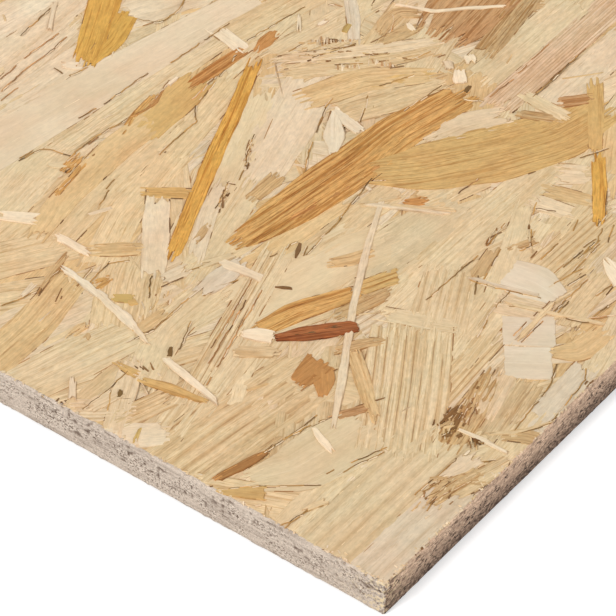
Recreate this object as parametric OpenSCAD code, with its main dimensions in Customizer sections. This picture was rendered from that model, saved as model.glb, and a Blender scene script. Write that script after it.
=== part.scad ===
// One sheet of oriented strand board, sawn square and lying flat.
// The origin is the centre of the underside. +X runs along the sheet, the way most of
// the face strands lie, +Y runs across it and +Z goes up through its thickness.

/* [Sheet] */
// Length of the sheet, along the face strands
sheet_length = 2440; // [600:10:3050]
// Width of the sheet, across the face strands
sheet_width = 1220; // [300:10:1525]
// Thickness of the pressed board
sheet_thickness = 18; // [6:1:30]

/* [Sawn edges] */
// Radius of the broken arrises, where the sawn edges meet the two faces
arris_radius = 0.8; // [0.2:0.1:2]
// Radius of the four upright corners, knocked off in handling
corner_radius = 1.5; // [0.5:0.1:6]

/* [Hidden] */
$fn = 48;
strand_colour = [0.84, 0.73, 0.55];

// A centred rectangle with its four corners rounded
module rounded_rectangle(wide, high, radius) {
    square([wide, high - 2 * radius], center = true);
    square([wide - 2 * radius, high], center = true);
    for (x = [-1, 1], y = [-1, 1])
        translate([x * (wide / 2 - radius), y * (high / 2 - radius)])
            circle(radius);
}

// The sheet seen from above: a sawn rectangle with knocked corners
module plan_prism() {
    linear_extrude(sheet_thickness)
        rounded_rectangle(sheet_length, sheet_width, corner_radius);
}

// The section across the sheet, with the arrises of the two long edges
module long_edge_prism() {
    translate([-sheet_length / 2, 0, sheet_thickness / 2])
        rotate([90, 0, 90])
            linear_extrude(sheet_length)
                rounded_rectangle(sheet_width, sheet_thickness, arris_radius);
}

// The section along the sheet, with the arrises of the two short ends
module end_prism() {
    translate([0, sheet_width / 2, sheet_thickness / 2])
        rotate([90, 0, 0])
            linear_extrude(sheet_width)
                rounded_rectangle(sheet_length, sheet_thickness, arris_radius);
}

// The whole sheet: pressed and sawn as one piece
module osb_panel() {
    color(strand_colour)
        intersection() {
            plan_prism();
            long_edge_prism();
            end_prism();
        }
}

osb_panel();
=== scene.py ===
"""Dresses one sheet of oriented strand board, lying flat with a corner towards the camera.

The two faces are mats of pressed wood strands over a plain core, and the four sides are sawn.
A strand is shaped in millimetres from the sheet's near corner, with x along the sheet, y across
it and z up from the pressed face. The finished meshes are in metres, in the frame's own axes.
"""

import logging
import math
from collections.abc import Iterable
from dataclasses import dataclass, field
from enum import Enum
from functools import lru_cache

import bmesh
import bpy
import numpy as np
from mathutils import Matrix, Vector, noise


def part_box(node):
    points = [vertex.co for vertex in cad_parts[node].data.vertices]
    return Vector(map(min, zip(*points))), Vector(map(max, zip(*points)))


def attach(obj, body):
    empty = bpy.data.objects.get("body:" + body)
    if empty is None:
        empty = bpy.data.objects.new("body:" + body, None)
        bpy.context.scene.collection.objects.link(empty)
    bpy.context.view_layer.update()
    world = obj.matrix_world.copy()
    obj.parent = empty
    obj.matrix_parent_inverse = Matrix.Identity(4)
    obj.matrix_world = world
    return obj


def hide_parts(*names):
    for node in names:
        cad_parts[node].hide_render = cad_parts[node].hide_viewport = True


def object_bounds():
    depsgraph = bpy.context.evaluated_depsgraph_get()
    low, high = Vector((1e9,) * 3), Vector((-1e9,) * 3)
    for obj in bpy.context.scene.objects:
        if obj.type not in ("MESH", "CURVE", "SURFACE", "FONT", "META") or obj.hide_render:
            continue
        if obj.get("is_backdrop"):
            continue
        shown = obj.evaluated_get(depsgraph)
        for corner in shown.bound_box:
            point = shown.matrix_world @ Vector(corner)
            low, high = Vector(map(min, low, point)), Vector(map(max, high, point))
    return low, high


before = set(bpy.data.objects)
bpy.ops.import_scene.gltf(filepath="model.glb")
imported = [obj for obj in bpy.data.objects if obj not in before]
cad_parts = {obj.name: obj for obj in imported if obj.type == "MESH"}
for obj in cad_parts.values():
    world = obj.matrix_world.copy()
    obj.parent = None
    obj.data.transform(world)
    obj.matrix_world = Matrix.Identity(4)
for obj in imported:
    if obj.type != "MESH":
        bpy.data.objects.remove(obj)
CAD_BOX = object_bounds()

LOG = logging.getLogger("strand_board")
NODE = "osb_panel"
BODY = "root"
MM = 0.001
BAKE_MAP = "OFBake"

# How splits are drawn as painted shade, with a pale painted highlight beside some reaches: lengths in
# millimetres, the rest as shares and factors
SPLIT_TIP = 0.35
CRACK_STEP = 1.6
CRACK_BEND = 0.22
CRACK_WIDTHS = (0.06, 0.4)
CRACK_SHADES = (0.8, 3.2)
CRACK_OPEN = 0.88
HIGHLIGHT_SHARE = 0.45
HIGHLIGHT_ASIDE = 0.4
HIGHLIGHT_WIDTH = 0.25

# A station is x, y and width in millimetres, and a spot is x and y
Station = tuple[float, float, float]
Spot = tuple[float, float]
Pair = tuple[float, float]
Triple = tuple[float, float, float]
Colour = tuple[int, int, int]
Draws = np.random.Generator
Socket = bpy.types.NodeSocket


class Tone(Enum):
    """Colours of the wood in the mat, and of the painted shade in its splits, gaps and pits, in sRGB from 0
    to 255.
    """

    IVORY = (239, 219, 190)
    BONE = (241, 219, 188)
    PALE = (229, 206, 174)
    CHALK = (220, 202, 176)
    DUST = (218, 197, 169)
    CREAM = (225, 201, 162)
    BLUSH = (228, 201, 165)
    ROSE = (221, 191, 158)
    SAND = (223, 195, 153)
    TAN = (221, 187, 138)
    HONEY = (215, 176, 115)
    GOLD = (217, 169, 86)
    OLIVE = (205, 173, 108)
    ORANGE = (221, 168, 84)
    AMBER = (212, 164, 100)
    CLAY = (198, 143, 85)
    BROWN = (204, 170, 124)
    NUT = (197, 153, 107)
    RUST = (160, 96, 54)
    # Umber is both a dark wood colour and the painted shade in seams, gaps and chips
    UMBER = (128, 94, 58)
    # Painted shade in the splits between strands
    PITCH = (120, 91, 51)
    # Painted shade at the bottom of pits and holes
    DEEP = (132, 95, 54)

    def linear(self) -> np.ndarray:
        """Returns the colour as linear light."""
        return linear_light(self.value)


class Face(Enum):
    """The two pressed faces of the sheet, with the way each looks along Z."""

    TOP = 1
    UNDER = -1


class Side(Enum):
    """The four sawn sides, with the way each looks along X and Y."""

    FRONT = (0, -1)
    BACK = (0, 1)
    LEFT = (-1, 0)
    RIGHT = (1, 0)


def linear_light(colour: Iterable[float]) -> np.ndarray:
    """Turns an sRGB colour into linear light.

    Args:
        colour: Red, green and blue from 0 to 255.

    Returns:
        The three linear values from 0 to 1.
    """
    share = np.array(tuple(colour)) / 255.0
    return np.where(share <= 0.04045, share / 12.92, ((share + 0.055) / 1.055) ** 2.4)


def soft_noise(rng: Draws, count: int, window: int) -> np.ndarray:
    """Draws a run of random values that change slowly.

    Args:
        rng: The seeded source of the values.
        count: How many values to draw.
        window: How many neighbours each value is blended with.

    Returns:
        Values of about unit spread.
    """
    raw = rng.standard_normal(count + window - 1)
    return np.convolve(raw, np.full(window, 1.0 / math.sqrt(window)), "valid")


def ease(low: float, high: float, value: np.ndarray) -> np.ndarray:
    """Steps smoothly from 0 at low to 1 at high."""
    share = np.clip((value - low) / (high - low), 0.0, 1.0)
    return share * share * (3.0 - 2.0 * share)


@dataclass(frozen=True)
class Sheet:
    """The sheet's box in the frame, in metres.

    Attributes:
        low: The lowest corner, which is the near corner's foot.
        high: The highest corner.
    """

    low: Vector
    high: Vector

    @classmethod
    def from_frame(cls) -> "Sheet":
        """Returns the box of the CAD node."""
        return cls(*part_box(NODE))

    @property
    def length(self) -> float:
        """The length along X, in millimetres."""
        return (self.high.x - self.low.x) / MM

    @property
    def width(self) -> float:
        """The width along Y, in millimetres."""
        return (self.high.y - self.low.y) / MM

    @property
    def thickness(self) -> float:
        """The thickness along Z, in millimetres."""
        return (self.high.z - self.low.z) / MM

    def place(self, points: np.ndarray, face: Face) -> np.ndarray:
        """Sets points that were shaped in millimetres on a face of the sheet.

        Args:
            points: Rows of x, y and z, where z is up from the face.
            face: The face that they lie on.

        Returns:
            The same points in metres in the frame.
        """
        level = self.high.z if face is Face.TOP else self.low.z
        placed = points * MM
        placed[:, 0] += self.low.x
        placed[:, 1] += self.low.y
        placed[:, 2] = level + face.value * placed[:, 2]
        return placed


class Blade:
    """A closed blade of rows by columns, which every strand is bent and cut from.

    The top is a grid. Its rim goes down into a wall, and one face closes the underside.
    """

    def __init__(self, rows: int, columns: int) -> None:
        """Models the blade.

        Args:
            rows: Points along the blade.
            columns: Points across it.
        """
        self.rows = rows
        self.columns = columns
        shape = bmesh.new()
        bmesh.ops.create_grid(shape, x_segments=rows - 1, y_segments=columns - 1, size=0.5)
        rim = [edge for edge in shape.edges if edge.is_boundary]
        wall = bmesh.ops.extrude_edge_only(shape, edges=rim)["geom"]
        foot = [part for part in wall if isinstance(part, bmesh.types.BMVert)]
        bmesh.ops.translate(shape, verts=foot, vec=(0.0, 0.0, -1.0))
        bmesh.ops.edgeloop_fill(shape, edges=[edge for edge in shape.edges if edge.is_boundary])
        bmesh.ops.recalc_face_normals(shape, faces=shape.faces)
        shape.verts.index_update()
        shape.normal_update()
        spot = np.array([vert.co for vert in shape.verts])
        span = np.ptp(spot, axis=0)
        share = (spot - spot.min(axis=0)) / span
        self.row = np.rint(share[:, 0] * (rows - 1)).astype(int)
        self.column = np.rint(share[:, 1] * (columns - 1)).astype(int)
        self.foot = share[:, 2] < 0.5
        upward = sorted(shape.faces, key=lambda item: round(item.normal.z))
        self.faces = [tuple(vert.index for vert in item.verts) for item in upward]
        shape.free()

    @staticmethod
    def shares(count: int, rim: float) -> np.ndarray:
        """Spaces points from 0 to 1, with the first and last gap set by the rim.

        Args:
            count: How many points there are.
            rim: The share of the whole that the rim takes at each end.

        Returns:
            The points' places.
        """
        if count < 5:
            return np.linspace(0.0, 1.0, count)
        return np.concatenate([[0.0], np.linspace(rim, 1.0 - rim, count - 2), [1.0]])


@lru_cache(maxsize=None)
def blade_of(rows: int, columns: int) -> Blade:
    """Returns the blade of that many rows and columns, modelled once."""
    return Blade(rows, columns)


@dataclass
class Cut:
    """One strand cut to shape.

    Attributes:
        points: Rows of x, y and z in millimetres.
        grain: For each point, metres along and across the grain, and the strand's own seed.
        tone: For each point, linear red, green and blue, and the strength of the figure.
        reach: For each point, millimetres to the long sides and to the ends, and ridges from the middle.
        faces: The points of each face, the underside first and the top last.
        depth: How deep the strand lies below the face, in millimetres.
    """

    points: np.ndarray
    grain: np.ndarray
    tone: np.ndarray
    reach: np.ndarray
    faces: list[tuple[int, ...]]
    depth: float


@dataclass(frozen=True)
class Strand:
    """One strand of wood in the mat.

    Attributes:
        tone: The colour of the wood.
        line: Stations along the middle of the strand, each x, y and width in millimetres.
        figure: Strength of the dark lines of the grain, from -0.3 on smooth wood to 1.5 on bold wood.
        ridge: Pitch of the ridges that the flaking knife left, in millimetres, or 0.
        fray: How ragged the long sides are, in millimetres.
        tear: How ragged the two ends are, in millimetres.
        thick: Thickness in millimetres.
        shade: Factor on the colour.
        edged: Whether the outline is darkened with painted shade.
    """

    tone: Tone
    line: tuple[Station, ...]
    figure: float = 0.3
    ridge: float = 0.0
    fray: float = 0.16
    tear: float = 2.2
    thick: float = 0.7
    shade: float = 1.0
    edged: bool = True

    # How finely the strand is modelled
    ROW_STEP = 3.5
    ROWS = (5, 40)
    COLUMN_STEP = 1.6
    COLUMNS = (5, 22)
    RIDGE_COLUMNS = 5.0
    RIDGED_COLUMNS = (8, 56)
    SPARE = 3
    TRACK_POINTS = 65
    BLUR = 9
    OVERRUN = 12.0

    # How its outline and its top are shaped: lengths in millimetres, the rest as shares
    RIM = 0.9
    RIM_SHARE = 0.2
    RIM_DROP = 0.06
    FOOT_SPREAD = 0.15
    TATTERS = 9
    LEAST_SPAN = 0.3
    LEAST_HALF = 0.12
    ROW_BUMPS = 0.03
    COLUMN_BUMPS = 0.035
    RIDGE_DEPTH = 0.03
    RIDGE_MOST = 3.2
    RIDGE_SHARPNESS = 1.5

    # How its wood differs from the next strand's
    SEEDS = 60.0
    SHADES = (0.97, 1.02)
    BRIGHTEST = 0.95

    # How it frays, with dark gaps along its sides that are painted shade: lengths in millimetres, and for
    # splinters also as shares of the strand
    SHRED_STEP = 6.5
    SHRED_LEAST = 2.0
    SHRED_WIDTHS = (0.22, 0.55)
    GAP_SHARE = 0.5
    GAP_SHADES = (0.8, 2.2)
    FIBRE_SHADES = (1.02, 1.14)
    SPLINTER_STEP = 3.0
    SPLINTER_REACH = (5.0, 0.08)
    SPLINTER_ROOT = (9.0, 0.2)
    SPLINTER_WIDTHS = (0.5, 1.6)
    SPLINTER_SHADES = (0.9, 1.08)

    @property
    def span(self) -> float:
        """The length along the middle, in millimetres."""
        spots = np.array(self.line)[:, :2]
        return float(np.hypot(*np.diff(spots, axis=0).T).sum())

    @property
    def width(self) -> float:
        """The greatest width, in millimetres."""
        return max(station[2] for station in self.line)

    def blade(self) -> Blade:
        """Picks a blade fine enough for this strand's outline and ridges.

        Returns:
            The blade to bend.
        """
        rows = int(np.clip(round(self.span / self.ROW_STEP) + self.SPARE, *self.ROWS))
        columns = int(np.clip(round(self.width / self.COLUMN_STEP) + self.SPARE, *self.COLUMNS))
        if self.ridge:
            columns = round(self.width / self.ridge * self.RIDGE_COLUMNS) + self.SPARE
            columns = int(np.clip(columns, *self.RIDGED_COLUMNS))
        return blade_of(rows, columns)

    def middle(self) -> tuple[np.ndarray, np.ndarray]:
        """Follows the middle line smoothly, past both ends.

        Returns:
            The running lengths, and for each the x, y, width and direction there.
        """
        stations = np.array(self.line, float)
        steps = np.hypot(*np.diff(stations[:, :2], axis=0).T)
        run = np.concatenate([[0.0], np.cumsum(steps)])
        head = (stations[1] - stations[0]) / steps[0] * self.OVERRUN
        tail = (stations[-1] - stations[-2]) / steps[-1] * self.OVERRUN
        head[2] = tail[2] = 0.0
        stations = np.vstack([stations[0] - head, stations, stations[-1] + tail])
        run = np.concatenate([[-self.OVERRUN], run, [run[-1] + self.OVERRUN]])
        fine = np.linspace(run[0], run[-1], self.TRACK_POINTS)
        track = np.stack([np.interp(fine, run, stations[:, axis]) for axis in range(3)], axis=1)
        if len(self.line) > 2:
            blur = np.hanning(self.BLUR + 2)[1:-1]
            blur /= blur.sum()
            inner = slice(self.BLUR // 2, -(self.BLUR // 2))
            for axis in range(3):
                track[inner, axis] = np.convolve(track[:, axis], blur, "valid")
        way = np.gradient(track[:, :2], axis=0)
        way /= np.hypot(way[:, 0], way[:, 1])[:, None]
        return fine, np.hstack([track, way])

    def cut(self, blade: Blade, depth: float, rng: Draws) -> Cut:
        """Bends a blade along the middle line and cuts its outline.

        Args:
            blade: The blade to bend.
            depth: How deep the strand's top lies below the face, in millimetres.
            rng: The seeded source of what is ragged.

        Returns:
            The strand's points, faces and marks.
        """
        fine, track = self.middle()
        span = self.span
        rim = min(self.RIM, self.RIM_SHARE * self.width)
        rows = Blade.shares(blade.rows, min(rim / span, self.RIM_SHARE))
        sides = Blade.shares(blade.columns, min(rim / self.width, self.RIM_SHARE)) * 2.0 - 1.0
        window = max(1, blade.columns // self.TATTERS)
        starts = self.tear * np.abs(soft_noise(rng, blade.columns, window))
        ends = span - self.tear * np.abs(soft_noise(rng, blade.columns, window))
        ends = np.maximum(ends, starts + self.LEAST_SPAN * span)
        arc = starts[None, :] + rows[:, None] * (ends - starts)[None, :]
        at = np.stack([np.interp(arc, fine, track[:, axis]) for axis in range(5)], axis=-1)
        half = at[..., 2] / 2.0
        ragged = self.fray * np.stack([soft_noise(rng, blade.rows, 2) for _ in range(2)], axis=1)
        edge = np.where(sides[None, :] < 0.0, ragged[:, :1], ragged[:, 1:])
        offset = sides[None, :] * np.maximum(half + edge * np.abs(sides[None, :]), self.LEAST_HALF)
        along = at[..., 3:5]
        across = np.stack([-along[..., 1], along[..., 0]], axis=-1)
        spot = at[..., :2] + across * offset[..., None]

        height = -depth - self.ROW_BUMPS * np.abs(soft_noise(rng, blade.rows, 3))[:, None]
        height = height - self.COLUMN_BUMPS * np.abs(soft_noise(rng, blade.columns, 2))[None, :]
        if self.ridge:
            wave = 0.5 - 0.5 * np.cos(math.tau * offset / self.ridge)
            valley = wave**self.RIDGE_SHARPNESS
            height -= self.RIDGE_DEPTH * min(self.ridge, self.RIDGE_MOST) * valley
        outline = np.zeros_like(offset)
        outline[[0, -1], :] = 1.0
        outline[:, [0, -1]] = 1.0
        height -= self.RIM_DROP * outline

        row, column, foot = blade.row, blade.column, blade.foot
        points = np.concatenate([spot[row, column], height[row, column][:, None]], axis=1)
        sideways = np.sign(sides[column]) * (np.abs(sides[column]) > 0.999)
        endways = np.where(row == 0, -1.0, np.where(row == blade.rows - 1, 1.0, 0.0))
        spread = across[row, column] * sideways[:, None] + along[row, column] * endways[:, None]
        points[foot, :2] += self.FOOT_SPREAD * spread[foot]
        points[foot, 2] = -depth - self.thick

        seed = rng.uniform(0.0, self.SEEDS)
        grain = np.stack(
            [arc[row, column] * MM + seed, offset[row, column] * MM, np.full(len(row), seed)], axis=1
        )
        blend = self.tone.linear() * self.shade * rng.uniform(*self.SHADES)
        tone = np.tile(np.append(np.clip(blend, 0.0, self.BRIGHTEST), self.figure), (len(row), 1))
        inside = 0.0 if self.edged else self.OVERRUN
        to_side = (half - np.abs(offset)).clip(0.0)[row, column] + inside
        to_end = (np.minimum(rows, 1.0 - rows) * span)[row] + inside
        phase = offset[row, column] / self.ridge if self.ridge else np.zeros(len(row))
        reach = np.stack([to_side, to_end, phase], axis=1)
        return Cut(points, grain, tone, reach, blade.faces, depth)

    def shreds(self, rng: Draws) -> Iterable["Strand"]:
        """Frays the strand: dark gaps along its sides, which are painted shade, loose fibres, and splinters
        at its ends.

        Args:
            rng: The seeded source of the shreds.

        Yields:
            Each shred, as a thin strand of its own.
        """
        for _ in range(int(self.span / self.SHRED_STEP)):
            side = rng.choice((-1.0, 1.0))
            half = (self.SHRED_LEAST + rng.gamma(2.0, 2.0)) / 2.0
            middle = rng.uniform(0.0, self.span)
            # Painted shade: about half the shreds are dark gaps along the side
            dark = rng.random() < self.GAP_SHARE
            lateral = side * (1.0 if dark else rng.uniform(0.2, 1.0))
            wide = rng.uniform(*self.SHRED_WIDTHS)
            tone = Tone.UMBER if dark else self.tone
            shade = rng.uniform(*(self.GAP_SHADES if dark else self.FIBRE_SHADES))
            yield self.shred(tone, shade, (middle - half, middle + half), lateral, wide)
        limits = (self.SPLINTER_REACH, self.SPLINTER_ROOT)
        longest, root = (min(most, share * self.span) for most, share in limits)
        for _ in range(math.ceil(self.width / self.SPLINTER_STEP)):
            for end in (0.0, self.span):
                reach = rng.uniform(0.2, 1.0) * longest
                inside = rng.uniform(0.4, 1.0) * root
                ends = (end - reach, end + inside) if end == 0.0 else (end - inside, end + reach)
                wide = min(rng.uniform(*self.SPLINTER_WIDTHS), 0.4 * self.width)
                shade = rng.uniform(*self.SPLINTER_SHADES)
                yield self.shred(self.tone, shade, ends, rng.uniform(-0.95, 0.95), wide)

    def shred(self, tone: Tone, shade: float, ends: Pair, lateral: float, wide: float) -> "Strand":
        """Cuts one shred along the strand's grain.

        Args:
            tone: The shred's colour.
            shade: Factor on the colour.
            ends: Where it starts and ends along the strand, in millimetres.
            lateral: Where it lies across, from -1 at one side to 1 at the other.
            wide: Its greatest width in millimetres.

        Returns:
            The shred.
        """
        fine, track = self.middle()
        line = []
        for share, width in ((0.0, 0.3), (0.5, 1.0), (1.0, 0.25)):
            arc = ends[0] + share * (ends[1] - ends[0])
            x, y, broad, along, across = (float(np.interp(arc, fine, row)) for row in track.T)
            offset = lateral * broad / 2.0
            line.append((x - across * offset, y + along * offset, wide * width))
        return Strand(
            tone, tuple(line), figure=self.figure, fray=0.06, tear=0.4, thick=0.3, shade=shade, edged=False
        )


def lay(tone: Tone, *line: Station, **marks: float) -> Strand:
    """Returns a strand of that tone along the stations, with any other marks by name."""
    return Strand(tone, line, **marks)


def soft(tone: Tone, *line: Station, **marks: float) -> Strand:
    """Returns such a strand without the painted shade along its outline."""
    return Strand(tone, line, edged=False, **marks)


def split(width: float, *line: Spot, tone: Tone = Tone.PITCH) -> Strand:
    """Returns a split between strands, drawn as painted shade: a thin dark strand laid over the gap.

    Args:
        width: The greatest width of the split, in millimetres.
        *line: The x and y of its bends, in millimetres.
        tone: The colour of the painted shade in the split.

    Returns:
        A thin dark strand that thins out at both ends.
    """
    stations = [(x, y, width) for x, y in line]
    if len(line) == 2:
        middle = np.mean(line, axis=0)
        stations.insert(1, (float(middle[0]), float(middle[1]), width))
    stations[0] = (*line[0], width * SPLIT_TIP)
    stations[-1] = (*line[-1], width * SPLIT_TIP)
    return Strand(tone, tuple(stations), figure=0.0, fray=0.25, tear=0.3, thick=0.5)


def seam(width: float, *line: Spot) -> Strand:
    """Returns a split between strands, drawn as brown painted shade."""
    return split(width, *line, tone=Tone.UMBER)


def crack(strand: Strand, rng: Draws) -> Iterable[Strand]:
    """Breaks a split into short reaches of painted shade that join end to end, some darker than others, with
    a pale painted highlight beside some of them.

    Args:
        strand: The whole split.
        rng: The seeded source of its bends and widths.

    Yields:
        Each reach of the split, and each painted highlight.
    """
    fine, track = strand.middle()
    count = max(4, int(strand.span / CRACK_STEP) + 1)
    arcs = np.linspace(0.0, strand.span, count)
    spots = np.stack([np.interp(arcs, fine, track[:, axis]) for axis in range(2)], axis=1)
    spots += rng.normal(0.0, CRACK_BEND, spots.shape)
    widths = strand.width * rng.uniform(*CRACK_WIDTHS, count)
    widths[[0, -1]] *= 0.4
    first = 0
    while first < count - 1:
        last = min(first + int(rng.integers(2, 5)), count - 1)
        line = tuple((*spots[spot], widths[spot]) for spot in range(first, last + 1))
        shade = rng.uniform(*CRACK_SHADES)
        if rng.random() < CRACK_OPEN:
            yield Strand(
                strand.tone, line, figure=0.0, fray=0.0, tear=0.0, thick=0.3, shade=shade, edged=False
            )
        # Painted highlight: a thin pale strip beside the reach, on one side or the other
        if rng.random() < HIGHLIGHT_SHARE:
            way = spots[last] - spots[first]
            aside = rng.choice((-HIGHLIGHT_ASIDE, HIGHLIGHT_ASIDE)) * np.array([-way[1], way[0]]) / np.hypot(*way)
            highlight = tuple((x + aside[0], y + aside[1], HIGHLIGHT_WIDTH) for x, y, _ in line)
            yield Strand(Tone.PALE, highlight, figure=0.0, fray=0.0, tear=0.5, thick=0.3, edged=False)
        first = last


@dataclass(frozen=True)
class Stubble:
    """A patch where the mat is broken up into short chips.

    Attributes:
        middle: The patch's middle, in millimetres.
        spread: How far the chips lie from it along and across, in millimetres.
        turn: The way the chips lie, in degrees from the sheet's length.
        count: How many chips there are.
        dark: The share of them that are dark gaps, drawn as painted shade.
        depth: How deep they lie below the topmost strands, in millimetres.
    """

    middle: Spot
    spread: Pair
    turn: float
    count: int
    dark: float
    depth: float = 0.0


@dataclass(frozen=True)
class Teeth:
    """A row of short upright fibres, with darker chips between them as painted shade in the gaps.

    Attributes:
        first: Where the row starts, in millimetres.
        last: Where it ends.
        count: How many fibres there are.
    """

    first: Spot
    last: Spot
    count: int


class CornerLayout:
    """The strands about the near corner, listed one by one from the deepest to the topmost.

    Attributes:
        BROAD: The strands that the face is mostly made of.
        FEATURE: The strands that stand out by their colour or their ridges.
        STICKS: The slivers, sticks and dark marks on top, some of them painted shade in a hole.
        STUBBLE: The patches that are broken up.
        TEETH: The rows of upright fibres.
        SPLITS: The splits between strands, drawn dark as painted shade in the gaps.
    """

    BROAD = (
        lay(Tone.CREAM, (-8, 49, 14), (30, 50, 15), (64, 49, 13), figure=0.2),
        lay(Tone.SAND, (-10, 106, 34), (35, 101, 38), (82, 94, 30), ridge=6.6, figure=0.4, shade=0.97),
        lay(Tone.CREAM, (12, 119, 15), (60, 127, 15), ridge=2.8),
        lay(Tone.CREAM, (36, 121, 18), (80, 129, 21), (132, 146, 18)),
        lay(Tone.CREAM, (30, 145, 14), (64, 157, 18), (96, 157, 14), figure=0.2),
        lay(Tone.CREAM, (-8, 184, 22), (25, 175, 24), (58, 165, 18), figure=0.35, shade=0.97),
        lay(Tone.SAND, (-6, 158, 9), (38, 157, 9)),
        lay(Tone.TAN, (-8, 201, 20), (30, 201, 19), (64, 206, 15), figure=0.4),
        lay(Tone.SAND, (52, 172, 26), (80, 188, 28), (100, 196, 22), figure=0.4),
        lay(Tone.SAND, (48, 240, 22), (84, 218, 20), figure=0.4),
        lay(Tone.CREAM, (74, 258, 26), (105, 262, 25), (130, 262, 20), figure=0.2),
        lay(Tone.PALE, (120, 304, 12), (195, 308, 14)),
        lay(Tone.PALE, (150, 319, 16), (220, 319, 14), figure=0.2, shade=1.03),
        lay(Tone.BONE, (160, 338, 20), (212, 330, 18), figure=0.2, shade=0.94),
        lay(Tone.CREAM, (112, 262, 11), (160, 258, 13), (205, 254, 12), (250, 248, 8), figure=0.45),
        lay(Tone.PALE, (116, 301, 12), (150, 296, 15), (192, 293, 12), figure=0.1),
        lay(Tone.SAND, (104, 302, 5), (132, 297, 6), (150, 295, 3)),
        lay(
            Tone.PALE, (84, 291, 34), (126, 284, 30), (155, 279, 28), (186, 272.5, 22), (215, 267, 21),
            (262, 258, 17),
            figure=-0.12, shade=0.965,
        ),
        lay(Tone.PALE, (215, 295, 20), (262, 275, 18), figure=0.1),
        lay(Tone.SAND, (74, 226, 15), (120, 232, 18), (176, 234, 14), figure=0.2, shade=1.02),
        lay(Tone.SAND, (76, 203, 16), (110, 214, 15), (156, 221, 14), figure=0.35, shade=1.06),
        lay(Tone.SAND, (150, 222, 14), (220, 232, 14), shade=1.02),
        lay(Tone.CREAM, (112, 184, 16), (160, 198, 20), (212, 217, 18), figure=-0.05),
        lay(Tone.PALE, (156, 184, 22), (200, 195, 26), (238, 206, 22), figure=0.05, shade=0.97),
        lay(Tone.CREAM, (94, 168, 14), (130, 176, 13), (164, 184, 11), figure=0.25),
        lay(Tone.CREAM, (92, 142, 22), (120, 135, 32), (150, 128, 32), (168, 120, 26), figure=-0.1),
        lay(Tone.CREAM, (140, 114, 26), (175, 109, 28), (206, 105, 24), figure=0.05, shade=0.9),
        lay(Tone.CREAM, (126, 93, 19), (190, 93, 19), (256, 91, 17)),
        lay(Tone.SAND, (136, 138, 13), (196, 134, 14)),
        lay(Tone.SAND, (196, 122, 20), (226, 112, 20)),
        lay(Tone.TAN, (112, 153, 12), (150, 149, 13), (176, 146, 9), figure=0.2),
        lay(Tone.SAND, (84, 45, 13), (144, 49, 13), ridge=2.4, figure=0.4),
        lay(Tone.CREAM, (118, 51, 13), (164, 57, 13), figure=0.45),
        lay(Tone.CREAM, (122, 60, 15), (172, 69, 15)),
        lay(Tone.SAND, (92, 16, 16), (132, 23, 16), figure=0.5, shade=0.9),
        lay(Tone.CREAM, (76, 5, 12), (118, 8, 14)),
        lay(Tone.CHALK, (102, 6, 11), (154, 8, 12), figure=0.0),
        lay(Tone.CREAM, (150, 3, 12), (196, 14, 14), figure=0.2, shade=0.95),
        lay(Tone.SAND, (168, 30, 12), (214, 34, 12), figure=0.45, shade=0.96),
        lay(Tone.CREAM, (168, 66, 14), (218, 75, 14)),
        lay(Tone.SAND, (188, 57, 14), (240, 56, 14), ridge=2.6, figure=0.4),
        lay(Tone.SAND, (188, 45, 12), (242, 44, 12), figure=0.5),
        lay(Tone.BLUSH, (196, 36, 12), (230, 38, 9), figure=0.4, shade=0.9),
        lay(Tone.SAND, (214, 66, 10), (262, 72, 14), figure=0.2, shade=0.97),
        lay(Tone.TAN, (250, 62, 12), (296, 86, 12), figure=0.2),
        lay(Tone.ROSE, (266, 131, 15), (362, 131, 16), ridge=1.4, figure=0.45),
        lay(Tone.PALE, (282, 113, 17), (345, 113, 17), figure=0.15),
        lay(Tone.CREAM, (278, 147, 16), (350, 145, 18), figure=0.2, shade=0.93),
        lay(Tone.CREAM, (262, 172, 18), (296, 180, 18), figure=0.35),
        lay(Tone.SAND, (228, 214, 16), (268, 203, 15), figure=0.4),
        lay(Tone.CREAM, (232, 228, 13), (290, 216, 13), figure=0.35),
        lay(Tone.CREAM, (258, 210, 11), (298, 224, 13), figure=0.2),
        lay(Tone.SAND, (228, 250, 18), (282, 240, 17)),
        lay(Tone.CREAM, (210, 236, 9), (268, 240, 11), figure=0.25),
        lay(Tone.SAND, (262, 196, 13), (300, 203, 12), figure=0.5),
        lay(Tone.BROWN, (318, 182, 16), (340, 158, 16), figure=0.4),
    )

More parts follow.
